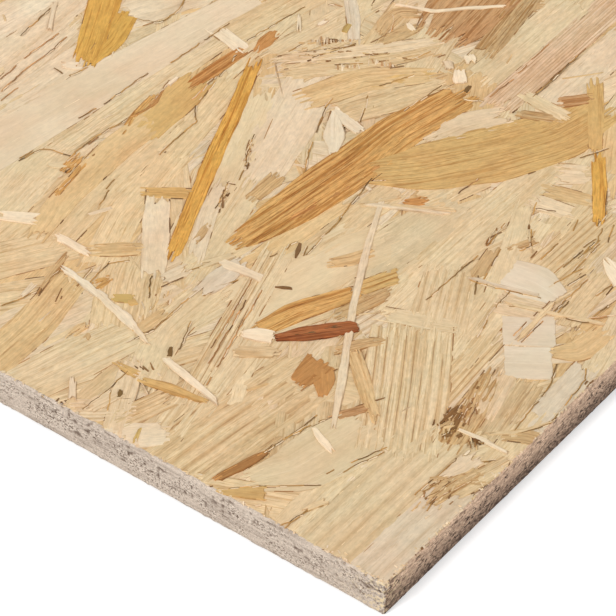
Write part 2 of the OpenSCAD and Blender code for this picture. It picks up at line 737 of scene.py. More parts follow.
    FEATURE = (
        lay(Tone.DUST, (-8, 9, 20), (30, 9, 20), (64, 8, 18), figure=0.02, ridge=8.0, shade=0.97),
        lay(Tone.CREAM, (-8, 31, 26), (34, 31, 27), (86, 30, 24), figure=0.08, ridge=7.0, shade=0.95),
        lay(Tone.CREAM, (14, 76, 12), (30, 66, 26), (48, 62, 30), (70, 58, 24), figure=-0.1, shade=0.93),
        lay(Tone.BLUSH, (17, 138, 13), (2, 157, 12), ridge=2.0),
        lay(Tone.BLUSH, (0, 136, 8), (20, 146, 11), (40, 156, 9), figure=0.2),
        lay(Tone.SAND, (8, 139, 11), (33, 131, 12), ridge=2.2, figure=0.5),
        lay(Tone.PALE, (-6, 139, 12), (5, 129, 15), (15, 119, 12), figure=0.0),
        lay(Tone.CREAM, (62, 40, 34), (98, 60, 37), (128, 78, 34), ridge=3.9, figure=0.5, shade=1.02),
        lay(Tone.CREAM, (132, 69, 26), (168, 86, 22), ridge=3.7, figure=0.25),
        lay(
            Tone.CREAM, (36, 125, 8), (62, 132.3, 10), (100, 142.5, 10.5), (130, 151, 9), ridge=2.1,
            figure=0.6,
        ),
        lay(Tone.CREAM, (78, 130, 5), (104, 137.5, 6), (131, 144.5, 5), figure=0.35),
        lay(Tone.CREAM, (128, 91, 9), (134, 77, 9), (140, 63, 8), figure=0.1, shade=0.97),
        lay(Tone.BROWN, (80, 26, 13), (100, 30, 14), (126, 36, 8), figure=1.0),
        lay(Tone.BLUSH, (102, 25, 10), (130, 32, 10), figure=0.4),
        lay(Tone.BLUSH, (163, 60, 13), (170, 39, 14), figure=0.2),
        lay(Tone.CREAM, (221, 85, 8), (192, 73, 9), (165, 63, 8), figure=0.1),
        lay(
            Tone.CHALK, (180, 67, 19), (182.5, 54, 23), (181, 40.5, 11),
            figure=-0.2, fray=0.08, tear=0.5, shade=1.03,
        ),
        soft(Tone.CHALK, (150, 48, 17), (163, 30, 18.5), figure=-0.2, fray=0.08, tear=0.3, shade=1.03),
        soft(Tone.CHALK, (134.5, 36.5, 19), (146.5, 20.5, 19), figure=-0.2, fray=0.08, tear=0.3, shade=1.01),
        lay(Tone.TAN, (151, 25, 5), (159, 16, 13), (176, 14, 9), figure=0.2),
        lay(Tone.BROWN, (170, 75, 7), (190, 79, 6), figure=0.5),
        lay(Tone.TAN, (234, 85, 9), (241, 64, 8)),
        soft(Tone.BROWN, (193, 74, 3), (199, 71, 5), (205, 68, 4), figure=0.8),
        lay(Tone.BLUSH, (225, 85, 11), (229, 65, 9), figure=0.25),
        lay(Tone.BLUSH, (246, 86, 14), (255, 74, 12), figure=0.1),
        lay(Tone.BLUSH, (233, 223, 6), (253, 206, 8), (273, 188, 8), (287, 178, 6), figure=0.5),
        lay(Tone.SAND, (226, 216, 7), (245, 200, 9), (267, 183, 8), (282, 174, 5), figure=0.5),
        lay(Tone.CHALK, (288, 225, 6), (275, 214, 6.5), (263, 205, 5), figure=0.2),
        lay(Tone.SAND, (218, 182, 14), (245, 169, 19), (266, 159, 11), figure=0.4),
        lay(Tone.TAN, (218, 199, 14), (245, 187, 17), (266, 166, 10), figure=0.4),
        soft(Tone.HONEY, (246, 182, 5), (257, 174, 8), (267, 165, 4), figure=0.4),
        lay(
            Tone.HONEY, (194, 150, 12), (212, 133, 29), (240, 114, 36), (268, 99, 31), (296, 94, 18),
            figure=0.6, tear=4.0, shade=0.95,
        ),
        lay(Tone.BLUSH, (230, 141, 8), (247, 135, 17), (264, 124, 14), figure=0.0, shade=0.94),
        lay(
            Tone.AMBER, (125, 166, 9), (136, 164, 15), (150, 162, 20), (175, 159, 24), (200, 156, 24),
            (225, 155, 22), (245, 151, 19), (264, 147, 16),
            figure=1.5, tear=4.0, shade=0.98,
        ),
        soft(Tone.CLAY, (148, 158, 3), (166, 154.5, 6), (184, 151, 7), (204, 148, 3), figure=1.2),
        lay(Tone.BROWN, (150, 178, 6), (171, 178, 8), figure=0.8, shade=1.08),
        lay(Tone.IVORY, (219, 184, 3), (206.5, 175, 10), (196.5, 168, 3), figure=-0.05, tear=0.6, shade=0.97),
        lay(Tone.IVORY, (221, 185, 2.5), (218, 176, 6.5), (216, 167.5, 5), figure=0.0, tear=0.6, shade=0.97),
        lay(Tone.NUT, (291, 178, 24), (304, 179, 33), (348, 183, 38), figure=1.0, tear=5.0, shade=0.97),
        lay(Tone.BROWN, (294, 156, 11), (345, 164, 12), figure=1.2, shade=0.88),
        lay(Tone.HONEY, (156, 241, 16), (182, 242, 18), (200, 243, 14), figure=0.1, shade=0.99),
        lay(Tone.TAN, (76, 234, 9), (100, 240, 13), (140, 243, 15), (166, 242, 14), figure=0.15),
        lay(Tone.CLAY, (193, 243.5, 5), (208, 242, 7), (228, 240, 6), figure=1.3, shade=1.04),
        lay(Tone.AMBER, (150, 247, 2), (163, 250, 4), (178, 252, 2), figure=1.0),
        lay(Tone.PALE, (152, 194, 6), (130, 186, 8), (106, 174, 7), figure=0.05, shade=0.98),
        soft(Tone.TAN, (80, 213, 6), (89, 203, 9), (97, 194, 7), figure=0.5, tear=5.0, shade=0.96),
        lay(Tone.HONEY, (125, 217, 6), (137, 200, 7), figure=0.6),
        lay(Tone.PALE, (127, 210, 10), (106, 195, 12), (86, 181, 10), figure=0.05),
        lay(
            Tone.ORANGE, (101, 182.5, 6.2), (115, 188, 6.6), (140, 198, 7.4), (165, 208, 7.4),
            (190, 217, 7), (223, 230.5, 6),
            figure=1.1, shade=0.98,
        ),
        soft(Tone.GOLD, (180, 288, 6), (196, 289, 11), (215, 294.5, 10), figure=0.4, tear=0.6, shade=0.98),
        soft(Tone.GOLD, (178, 289.5, 11), (193, 296.5, 12.5), (215, 307.5, 14.5), (240, 320, 16), figure=0.7),
        lay(Tone.BONE, (232, 257, 8), (228, 239, 8), figure=0.0),
        lay(Tone.CLAY, (231, 235, 3), (239, 236, 6.5), (247, 236, 5), figure=0.5),
        lay(Tone.HONEY, (269, 81, 6), (288, 93, 7), (308, 107, 7)),
        lay(Tone.ORANGE, (231, 54, 5), (250, 66, 6.4), (267, 78, 6), figure=1.2),
        lay(Tone.CREAM, (281, 127, 6), (280, 103, 8), figure=0.1),
        # Painted shade: the brown and nut strands on either side of the cream chip stand for its shadows
        lay(Tone.BROWN, (269, 121, 5), (277, 104, 7), figure=1.0, shade=0.98),
        lay(Tone.NUT, (286, 111, 7), (298, 101, 7), figure=1.0),
        soft(Tone.CLAY, (71.5, 83, 3), (79, 88, 10), (85, 93, 9), figure=0.0, tear=0.5, shade=0.92),
        soft(Tone.CLAY, (71.5, 95.5, 8), (88, 95, 15), figure=0.4, tear=0.6, shade=0.92),
        lay(Tone.TAN, (102, 90, 6), (89, 75, 7), (74, 59, 5), figure=0.5),
        lay(Tone.NUT, (66, 71, 4), (80, 63, 5), figure=1.0, shade=0.94),
        # Partly painted shadow: this brown strand stands both for a darker strand and for the shade under the
        # honey strand's lower edge
        lay(Tone.BROWN, (114, 106, 6), (127, 102, 8), (140, 98, 7), figure=0.8),
        lay(Tone.AMBER, (87, 126.5, 8), (105, 121.5, 11.8), (132, 108, 8), figure=1.1),
        lay(Tone.HONEY, (133, 109, 8), (151, 101, 9), figure=1.0, shade=0.96),
        soft(Tone.BROWN, (98, 12, 5), (103, 6, 8), (106, -3, 8), figure=0.6),
        lay(Tone.SAND, (58, 9, 9), (90, 1, 9), figure=0.7, shade=0.95),
        lay(Tone.BROWN, (48, 13, 5), (60, 12, 9), (76, 8, 7), figure=1.0),
        lay(Tone.BROWN, (58, 19, 6), (66, 11, 7), (72, 4, 6), figure=0.6),
        lay(Tone.PALE, (62, 18, 3), (72, 15, 8), (82, 14, 9), figure=0.05),
        lay(Tone.HONEY, (1, 83, 2.5), (6, 75.5, 6), (11.5, 67.5, 7.5), figure=0.1, tear=0.5, shade=0.86),
        lay(
            Tone.CLAY, (6.5, 87.8, 3.2), (18, 84.5, 4), (27, 82, 3.6), (31, 81.3, 1.2),
            figure=0.4, tear=0.6, shade=0.74,
        ),
        lay(Tone.HONEY, (34, 161, 3), (34, 149, 5), figure=0.6),
        lay(Tone.HONEY, (33, 146, 3), (36, 134, 6), (39, 118, 2), figure=0.6),
        lay(Tone.OLIVE, (64.5, 185.5, 4.5), (69.5, 178.5, 5.5), figure=-0.1, tear=0.8, shade=0.95),
        lay(Tone.OLIVE, (2, 126, 1.6), (10, 129, 1.4), figure=0.2),
        lay(Tone.BLUSH, (6, 153, 7), (22, 149, 7), shade=0.97),
        soft(Tone.BROWN, (96, 95, 4), (106, 89, 6), (114, 83, 4), figure=0.9),
        soft(Tone.TAN, (138, 128, 5), (146, 122, 7), (156, 118, 5), figure=0.5),
        soft(Tone.HONEY, (66, 178.5, 3), (69, 176.5, 3), figure=0.1, tear=0.5),
        lay(Tone.AMBER, (66, 196, 6), (74, 194, 3), figure=0.6, shade=0.94),
        lay(Tone.AMBER, (114, 251, 5), (127, 252, 6), figure=0.7),
        lay(Tone.AMBER, (100, 244, 3), (123, 247, 2.5), figure=0.5),
        lay(Tone.BONE, (80.5, 130.5, 4), (84, 126, 8), (87, 119.5, 7), figure=-0.1, fray=0.1, tear=0.5),
        lay(Tone.SAND, (70, 127, 7), (81, 112, 6), figure=0.6, shade=0.96),
        lay(Tone.CLAY, (189, 126, 4), (197, 119, 5), figure=0.6, shade=1.05),
        lay(Tone.TAN, (54, 165, 7), (72, 163, 6), shade=0.92),
        soft(Tone.BROWN, (275, 200, 4), (284, 202, 9), (293, 202, 8), (298, 194, 5), figure=0.8),
        soft(Tone.BROWN, (271, 196, 4), (280, 193, 8), (290, 190, 6), figure=0.8),
        lay(Tone.PALE, (86, 176, 6), (99, 172, 7), figure=0.2),
        lay(Tone.CHALK, (90, 159, 7), (103, 158, 11), (116, 157, 7), figure=0.0),
        soft(Tone.BROWN, (48, 211.5, 1.5), (60, 214.5, 3), (74, 217, 2), figure=0.9),
        # Painted shade: a brown spot for a shaded gap
        lay(Tone.BROWN, (114, 180, 3), (126, 182, 4), figure=0.6),
        soft(Tone.TAN, (36, 185, 3), (41, 185, 4.5), (45, 184, 3), figure=0.4),
    )

    STICKS = (
        lay(Tone.PALE, (178, 139, 2), (196, 106, 2), figure=0.1),
        lay(Tone.SAND, (184, 130, 2), (200, 105, 2)),
        lay(Tone.SAND, (176, 140, 2), (192, 129, 2), figure=0.4, shade=0.96),
        lay(Tone.SAND, (94, 19, 1.6), (104, 8, 1.6), (118, 1, 1.2)),
        lay(Tone.PALE, (58, 68, 2), (80, 80, 3.4), (120, 103, 3.2), (155, 121, 3), (187, 135, 2), figure=0.1),
        # Painted shade: a thin reddish-brown strand where a crevice lies in shade
        soft(Tone.CLAY, (162, 250, 0.6), (174, 247.5, 1.5), (185, 251, 0.6), figure=0.6, shade=0.8),
        lay(Tone.BONE, (186, 251, 1.4), (195, 251, 1.8), figure=0.0),
        lay(Tone.SAND, (13, 50, 2), (24, 46, 4), figure=0.4),
        # Painted shade: dark pieces laid where a hole in the mat lies in shade
        soft(Tone.DEEP, (86, 36, 1.2), (93, 36, 2.4), (102, 36, 1.4), figure=1.0, fray=0.3),
        soft(Tone.DEEP, (86, 29, 1.2), (92, 31, 2.2), (98, 32.5, 1.2), figure=1.0, fray=0.3),
        soft(Tone.DEEP, (81, 31, 1.2), (86, 29, 1.6), figure=1.0, fray=0.3),
        soft(Tone.DEEP, (89, 21.5, 1.4), (89, 16.5, 2.0), figure=1.0, fray=0.3),
        soft(Tone.DEEP, (85, 26.5, 1.4), (89, 25, 1.2), figure=1.0, fray=0.3),
        lay(Tone.BROWN, (85, 34.5, 2), (93, 33, 2), figure=1.0),
        lay(Tone.TAN, (86, 34, 1.6), (91, 30, 1.4), figure=0.4),
        soft(Tone.DEEP, (96, 37, 1.0), (98, 30, 1.0), figure=1.0),
        lay(Tone.BONE, (90, 28.5, 1.5), (91, 16, 2.2), (91, 4, 1.6), figure=0.1, shade=0.98),
        lay(Tone.DUST, (168, 77.5, 1.6), (172, 62, 2.0), (178, 46, 1.4), figure=0.1, shade=0.98),
        lay(Tone.SAND, (164, 57, 1.6), (171, 38, 2.0), (180, 16, 1.4), figure=0.2, shade=0.97),
        lay(Tone.PALE, (264, 236, 1.4), (253, 228, 1.8), figure=0.1),
        lay(Tone.BONE, (262, 224.5, 2.0), (269, 223, 2.6), figure=0.0),
        soft(
            Tone.OLIVE, (266, 212.5, 2.0), (269, 213.4, 3.2), (272, 214, 2.0),
            figure=0.4, tear=0.2, shade=0.88,
        ),
        lay(Tone.BONE, (54, 75, 2), (50, 67, 3.6), (47, 60, 2), figure=0.0),
        lay(Tone.IVORY, (66, 215, 2), (64, 199, 3.4), (61.5, 186, 3.6), figure=0.0, fray=0.4),
        lay(Tone.IVORY, (63, 193, 3), (59, 177, 4.6), (55, 166, 3.4), figure=0.0, fray=0.45),
        lay(Tone.BONE, (57, 170, 3), (51, 156, 1.6), figure=0.0, fray=0.3),
        lay(Tone.BONE, (49, 147, 3), (45, 129, 3.4), (41, 112, 2), figure=0.0),
        lay(Tone.BONE, (80, 229, 3.5), (80, 208, 4.2), figure=0.0),
        lay(Tone.BONE, (75, 255, 5), (84, 239, 7), figure=0.0),
        lay(Tone.PALE, (6, 161, 3), (17, 169, 2), figure=0.0),
        lay(Tone.CREAM, (102, 170, 4), (118, 162, 3), figure=0.0),
        lay(Tone.PALE, (110, 166, 5), (113, 143, 4), figure=0.0),
        lay(Tone.PALE, (184, 314, 2), (202, 325, 2), figure=0.0),
        lay(
            Tone.RUST, (87, 118.5, 3.5), (96, 111, 8), (105, 103.5, 8.5), (114.5, 96, 6),
            figure=1.5, tear=1.0,
        ),
        soft(Tone.UMBER, (93, 113.5, 0.6), (101, 107, 1.2), figure=1.0, shade=0.8),
        soft(Tone.UMBER, (103, 107, 1.0), (113, 98.5, 2.4), figure=1.0, shade=0.7),
        lay(Tone.BONE, (214, 39.5, 3), (209, 30, 9), (205, 22, 11), figure=-0.05),
        lay(Tone.SAND, (147, 39.5, 2), (162, 40, 2.6), (178, 40.5, 2), figure=0.4),
        lay(Tone.CREAM, (113, 259, 3), (119, 252, 4), figure=0.0),
        lay(Tone.BONE, (296, 207, 1.2), (303, 190, 2.0), (315, 179, 2.0), (327, 167, 1.2), figure=0.0),
        lay(Tone.BONE, (288.5, 161, 4), (284, 156, 5), figure=0.0, fray=0.35, tear=1.2),
        lay(Tone.BONE, (277, 158.5, 4), (273, 155, 6), (269.5, 151.5, 5), figure=0.0, fray=0.4, tear=1.2),
        lay(Tone.PALE, (278.5, 166, 3), (274.5, 161.5, 3.6), figure=0.0, fray=0.3, tear=1.0),
        lay(Tone.BONE, (289, 194.5, 2.4), (286, 188.5, 1.6), figure=0.0, fray=0.3, tear=1.0),
        lay(Tone.BONE, (169, 296, 3), (171.5, 292, 5), (174.5, 287.5, 3.4), figure=0.0, fray=0.3, shade=0.97),
    )

    STUBBLE = (
        Stubble((91, 34), (4, 2.5), 25, 40, 0.65),
        Stubble((88, 18), (2, 1.5), 40, 12, 0.6),
        Stubble((105, 33), (10, 3), 16, 26, 0.35),
        Stubble((54, 14), (8, 3), 0, 30, 0.3),
        Stubble((197, 85), (3, 1), 10, 8, 0.5),
        Stubble((204, 71), (4, 1.5), 25, 12, 0.5),
        Stubble((122, 251), (6, 2), 5, 18, 0.3),
        Stubble((62, 203), (10, 2), 5, 18, 0.25, depth=0.3),
        Stubble((78, 172), (8, 3), 20, 18, 0.25, depth=0.3),
        Stubble((229, 175), (8, 2), 15, 14, 0.25, depth=0.3),
        Stubble((36, 150), (6, 3), 80, 12, 0.25, depth=0.3),
        Stubble((118, 106), (8, 3), 20, 18, 0.15, depth=0.3),
        Stubble((250, 212), (9, 4), -50, 40, 0.4),
        Stubble((173, 196.5), (5, 0.6), 30, 30, 0.45),
        Stubble((146, 188.5), (3.5, 0.6), 22, 22, 0.45),
        Stubble((262, 190), (9, 3), -42, 32, 0.4),
    )

    TEETH = (
        Teeth((252, 220), (264, 206), 18),
        Teeth((243.5, 201.5), (251.5, 193.5), 9),
        Teeth((257, 193), (261, 181), 9),
    )

    SPLITS = (
        seam(1.3, (47, 123.5), (76, 131.5), (107, 140)),
        seam(1.1, (58, 130.5), (98, 141.5)),
        seam(1.0, (66, 135.5), (110, 147)),
        split(1.2, (0, 52.5), (6, 50.5), (12, 49), (18, 49)),
        split(0.8, (38, 51), (48, 48.5), (60, 44)),
        split(1.0, (42, 80), (52, 78.2), (61, 78)),
        split(0.7, (48, 20.5), (60, 20)),
        split(0.6, (62, 19.3), (76, 18.8)),
        split(0.9, (103, 10), (125, 12.5), (133, 13.2), (147, 18.5)),
        split(0.8, (118, 1.5), (135, 3), (147, 4.5), (152, 8)),
        split(0.8, (96, 17), (104, 7), (117, 0.5)),
        split(1.2, (161, 58.5), (168, 47), (170.5, 42)),
        split(1.2, (170, 37.5), (175, 24), (179, 18)),
        split(1.5, (161, 69.5), (171, 74.5)),
        split(1.0, (170, 71.5), (180, 74), (191, 77)),
        split(0.8, (145, 83), (165, 82.8), (183, 82)),
        split(1.3, (191, 82.5), (206, 84.8)),
        split(0.8, (140, 53), (155, 57.5), (173, 59.2)),
        split(0.9, (172, 37.8), (198, 37.6)),
        seam(1.3, (179, 23), (188, 15)),
        split(1.2, (199, 67), (209, 73.5)),
        split(1.3, (218, 79), (225, 82)),
        seam(1.2, (222, 80), (225.5, 72)),
        split(1.4, (220, 59.5), (227, 61.5)),
        split(1.2, (211, 48), (219, 48.2)),
        split(0.8, (198, 45), (220, 46)),
        split(1.0, (220, 47.5), (229, 50.5)),
        split(1.2, (223, 44), (234, 48)),
        split(1.5, (214, 50), (222, 49)),
        split(1.2, (207, 48), (222, 47)),
        split(1.4, (198, 50), (212, 49)),
        split(1.2, (196, 60), (209, 60)),
        split(1.0, (184, 48), (204, 43)),
        split(1.2, (171, 36), (182, 36)),
        split(1.7, (180, 23), (190, 22)),
        split(1.2, (190, 42), (200, 40)),
        split(1.2, (192, 29), (202, 28)),
        seam(1.4, (145, 310), (166, 311), (189, 310)),
        seam(1.1, (139, 305), (159, 306), (174, 305), (186, 306)),
        seam(1.1, (134, 301), (139, 301), (150, 301)),
        split(1.2, (166, 297), (165, 292), (166, 287.5), (175, 286)),
        seam(0.9, (150, 42.5), (163, 42.6), (177, 42.4)),
        seam(0.8, (149, 37.6), (165, 37.8)),
        split(1.1, (229, 53), (239, 55)),
        split(1.2, (261, 83.5), (268, 80), (274, 77.5)),
        seam(1.0, (209, 111.5), (222, 110)),
        split(1.0, (136, 138.5), (150, 140), (160, 140), (172, 142.5), (195, 146)),
        split(1.2, (158, 140), (170, 142)),
        split(0.8, (126, 150), (133, 147.5), (141, 147)),
        split(0.9, (46, 164.5), (60, 160.5), (84, 161)),
        split(0.9, (4, 154), (20, 153.2), (33, 153.5)),
        split(1.0, (10, 145.5), (20, 151.5)),
        split(1.1, (57, 145), (63, 147), (73, 151.5)),
        split(1.0, (89, 157), (97, 157.2)),
        split(1.0, (96, 156.3), (106, 151.5)),
        split(1.0, (89, 171.3), (98, 173.5)),
        split(1.0, (98, 171), (106, 167.5)),
        split(0.9, (66, 198.8), (81, 200.3)),
        split(1.1, (66, 202.5), (77, 204)),
        split(0.9, (80, 200), (87, 194.5)),
        split(1.0, (74, 173.5), (85, 181.5)),
        split(1.3, (136, 186), (145, 189), (153, 192)),
        split(1.3, (152, 192.5), (154, 187)),
        split(1.0, (157, 189.5), (166, 192), (175, 198), (185, 202)),
        split(0.9, (191, 177), (205, 183), (222, 190)),
        split(0.6, (177, 170), (192, 177.5)),
        split(1.3, (220, 171.5), (228, 174), (237, 179)),
        split(1.3, (246, 179), (254, 175), (263, 171)),
        split(0.8, (239, 160.3), (263, 158)),
        split(1.7, (267, 180.5), (272, 177), (279, 175)),
        seam(0.9, (270, 137), (285, 136), (316, 137.5)),
        split(0.9, (282, 122.3), (292, 122.3), (318, 123)),
        split(1.2, (107, 225.6), (117, 228.6)),
        split(0.8, (117, 229.6), (124, 231.3)),
        split(1.0, (149, 225.8), (165, 226.8), (177, 226.4)),
        split(1.1, (176, 226.5), (182, 232.5), (200, 236), (223, 240.3)),
        seam(0.9, (187, 236.8), (206, 238.6)),
        seam(1.5, (161, 250.3), (167, 248.5), (174, 249.5), (191, 252.6)),
        split(0.9, (124, 255), (140, 254.5), (152, 252), (157, 251.3)),
        split(1.2, (216, 288.5), (220, 279.5), (232, 279), (240, 281.3)),
        split(0.9, (160, 264.8), (189, 262.8)),
        split(1.2, (146, 267.3), (156, 265.8)),
        split(1.6, (152, 259.3), (159, 258.3)),
        split(0.7, (201, 259.2), (239, 255.8)),
        split(1.0, (234, 242.7), (250, 240), (269, 237)),
        split(1.8, (240, 218), (244, 213)),
        split(1.4, (243, 213), (249, 210.5)),
        split(1.9, (251, 209), (256, 207), (262, 204)),
        split(1.9, (252, 208), (257, 206)),
        split(1.2, (240, 223.8), (247, 221.8)),
        split(1.4, (245, 202.5), (249, 198.5), (253.5, 194)),
        split(1.4, (219, 189), (226, 190)),
        seam(1.4, (274, 231), (279, 228), (280, 224)),
        seam(1.4, (276, 195), (287, 200), (290, 203)),
        seam(1.8, (281, 193), (286, 192), (291, 189)),
        split(1.0, (174, 322), (197, 323.7)),
        seam(1.2, (103, 244.4), (112, 244.6), (121, 246.3)),
        split(1.0, (106, 270.6), (116, 269.8)),
        split(1.2, (32, 218.3), (40, 215), (51, 212)),
        split(1.2, (54, 213), (64, 213)),
        split(2.1, (18.5, 147), (23, 149)),
        split(2.4, (51, 145.8), (56, 148.6)),
        seam(2.1, (132, 141), (141, 145)),
        split(1.2, (135, 139), (141, 141.5)),
        seam(2.1, (112, 137), (116, 131)),
        split(0.7, (2, 84), (12, 73), (29, 53)),
        split(1.4, (29, 82), (41, 80), (53, 77), (61, 74)),
        split(1.0, (1, 50), (13, 49), (23, 45)),
        split(0.7, (36, 55), (63, 45)),
        split(2.1, (266, 147.2), (271, 148)),
        split(1.4, (52, 19), (63, 16)),
        split(1.4, (49, 16), (56, 14)),
        split(1.6, (44, 11), (50, 13)),
        seam(1.2, (50, 12.5), (68, 8)),
        split(1.0, (108, 270), (121, 267), (124, 255)),
        split(1.8, (195, 70), (204, 66.5)),
        split(0.9, (166.5, 76), (170.5, 62), (176.5, 46)),
        split(1.8, (262, 145), (266, 138)),
        split(1.9, (82, 29), (88, 33.5)),
        split(1.7, (87, 33), (95, 36.5)),
        seam(1.8, (93, 35), (107, 36.5)),
        split(1.7, (83, 32), (91, 28)),
        seam(1.2, (90, 31), (99, 33)),
        seam(1.0, (96, 31), (112, 35)),
        seam(1.0, (94, 27), (108, 31)),
        split(1.9, (86, 21), (90.5, 15)),
        split(1.6, (80, 10), (85, 6)),
    )


@dataclass
class Pile:
    """Strands of one face, gathered into one joined mesh.

    Attributes:
        sheet: The sheet that they lie on.
        face: The face that they lie on.
        cuts: The strands, cut to shape.
    """

    sheet: Sheet
    face: Face
    cuts: list[Cut] = field(default_factory=list)

    SAW = {Face.TOP: 0.4, Face.UNDER: 1.4}
    EASE = 2.6
    EASE_DROP = 0.4
    CRUMB = 1.3
    CRUMB_SCALE = 260.0
    CRUMB_SHIFT = 0.25
    SHEAR = 0.4

    def mesh(self, name: str) -> bpy.types.Mesh:
        """Joins the strands, the deepest first, and saws them off at the sheet's edges.

        Args:
            name: The name of the mesh.

        Returns:
            The joined mesh, with its marks and its flat map.
        """
        ordered = sorted(self.cuts, key=lambda cut: -cut.depth)
        counts = [len(cut.points) for cut in ordered]
        firsts = np.concatenate([[0], np.cumsum(counts)[:-1]])
        turn = self.face.value
        faces = [
            tuple(first + point for point in item[::turn])
            for cut, first in zip(ordered, firsts.tolist())
            for item in cut.faces
        ]
        points = self.sheet.place(np.concatenate([cut.points for cut in ordered]), self.face)
        mesh = bpy.data.meshes.new(name)
        mesh.from_pydata(points.tolist(), [], faces)
        for mark, kind, key in (
            ("grain", "FLOAT_VECTOR", "vector"),
            ("reach", "FLOAT_VECTOR", "vector"),
            ("tone", "FLOAT_COLOR", "color"),
        ):
            values = np.concatenate([getattr(cut, mark) for cut in ordered]).astype(np.float32)
            mesh.attributes.new(mark, kind, "POINT").data.foreach_set(key, values.ravel())
        self.saw(mesh)
        self.flatten(mesh)
        return mesh

    def saw(self, mesh: bpy.types.Mesh) -> None:
        """Cuts off what reaches past the sheet's edges and eases the cut arrises.

        Args:
            mesh: The joined strands, changed in place.
        """
        low, high = self.sheet.low, self.sheet.high
        shape = bmesh.new()
        shape.from_mesh(mesh)
        for side in Side:
            outward = Vector((*side.value, 0.0))
            corner = high if sum(side.value) > 0 else low
            edge = corner - outward * self.SAW[self.face] * MM
            inner = corner - outward * self.EASE * MM
            near = [vert for vert in shape.verts if (vert.co - inner).dot(outward) > 0.0]
            if not near:
                continue
            faces = list({item for vert in near for item in vert.link_faces})
            self.bisect(shape, faces, inner, outward, False)
            near = [vert for vert in shape.verts if (vert.co - edge).dot(outward) > 0.0]
            faces = list({item for vert in near for item in vert.link_faces})
            if not faces:
                continue
            rim = self.bisect(shape, faces, edge, outward, True)
            bmesh.ops.holes_fill(shape, edges=[part for part in rim if part.is_boundary], sides=0)
            for vert in {vert for part in rim for vert in part.verts}:
                crumble = max(0.0, self.CRUMB_SHIFT + noise.noise(vert.co * self.CRUMB_SCALE))
                vert.co.z -= self.face.value * self.EASE_DROP * MM * (0.4 + crumble)
                vert.co -= outward * self.CRUMB * MM * crumble
        shape.to_mesh(mesh)
        shape.free()

    @staticmethod
    def bisect(
        shape: bmesh.types.BMesh, faces: list, spot: Vector, outward: Vector, clear: bool
    ) -> list[bmesh.types.BMEdge]:
        """Cuts faces along a plane.

        Args:
            shape: The bmesh that is cut.
            faces: The faces to cut.
            spot: A point on the plane.
            outward: The way the plane looks.
            clear: Whether what lies past the plane is taken away.

        Returns:
            The edges that lie on the cut.
        """
        edges = list({edge for item in faces for edge in item.edges})
        verts = list({vert for item in faces for vert in item.verts})
        result = bmesh.ops.bisect_plane(
            shape, geom=verts + edges + faces, dist=1e-7, plane_co=spot, plane_no=outward,
            clear_outer=clear,
        )
        return [part for part in result["geom_cut"] if isinstance(part, bmesh.types.BMEdge)]

    def flatten(self, mesh: bpy.types.Mesh) -> None:
        """Lays every face out flat in the bake map, sheared so that upright faces take up room too.

        Args:
            mesh: The joined strands, changed in place.
        """
        points = np.empty(len(mesh.vertices) * 3, np.float32)
        mesh.vertices.foreach_get("co", points)
        points = points.reshape(-1, 3)
        corner = np.empty(len(mesh.loops), np.int32)
        mesh.loops.foreach_get("vertex_index", corner)
        flat = points[:, :2] + self.SHEAR * (points[:, 2:] - points[:, 2:].mean())
        flat -= flat.min(axis=0)
        flat /= flat.max(axis=0)
        layer = mesh.uv_layers.new(name=BAKE_MAP)
        layer.uv.foreach_set("vector", flat[corner].astype(np.float32).ravel())


def heading(angle: float) -> np.ndarray:
    """Returns the step of one millimetre along an angle in radians from the sheet's length."""
    return np.array([math.cos(angle), math.sin(angle)])


def draw(rng: Draws, mix: tuple[tuple[Tone, float], ...]) -> Tone:
    """Returns a tone of the mix, drawn by its weight."""
    return mix[rng.choice(len(mix), p=[weight for _, weight in mix])][0]


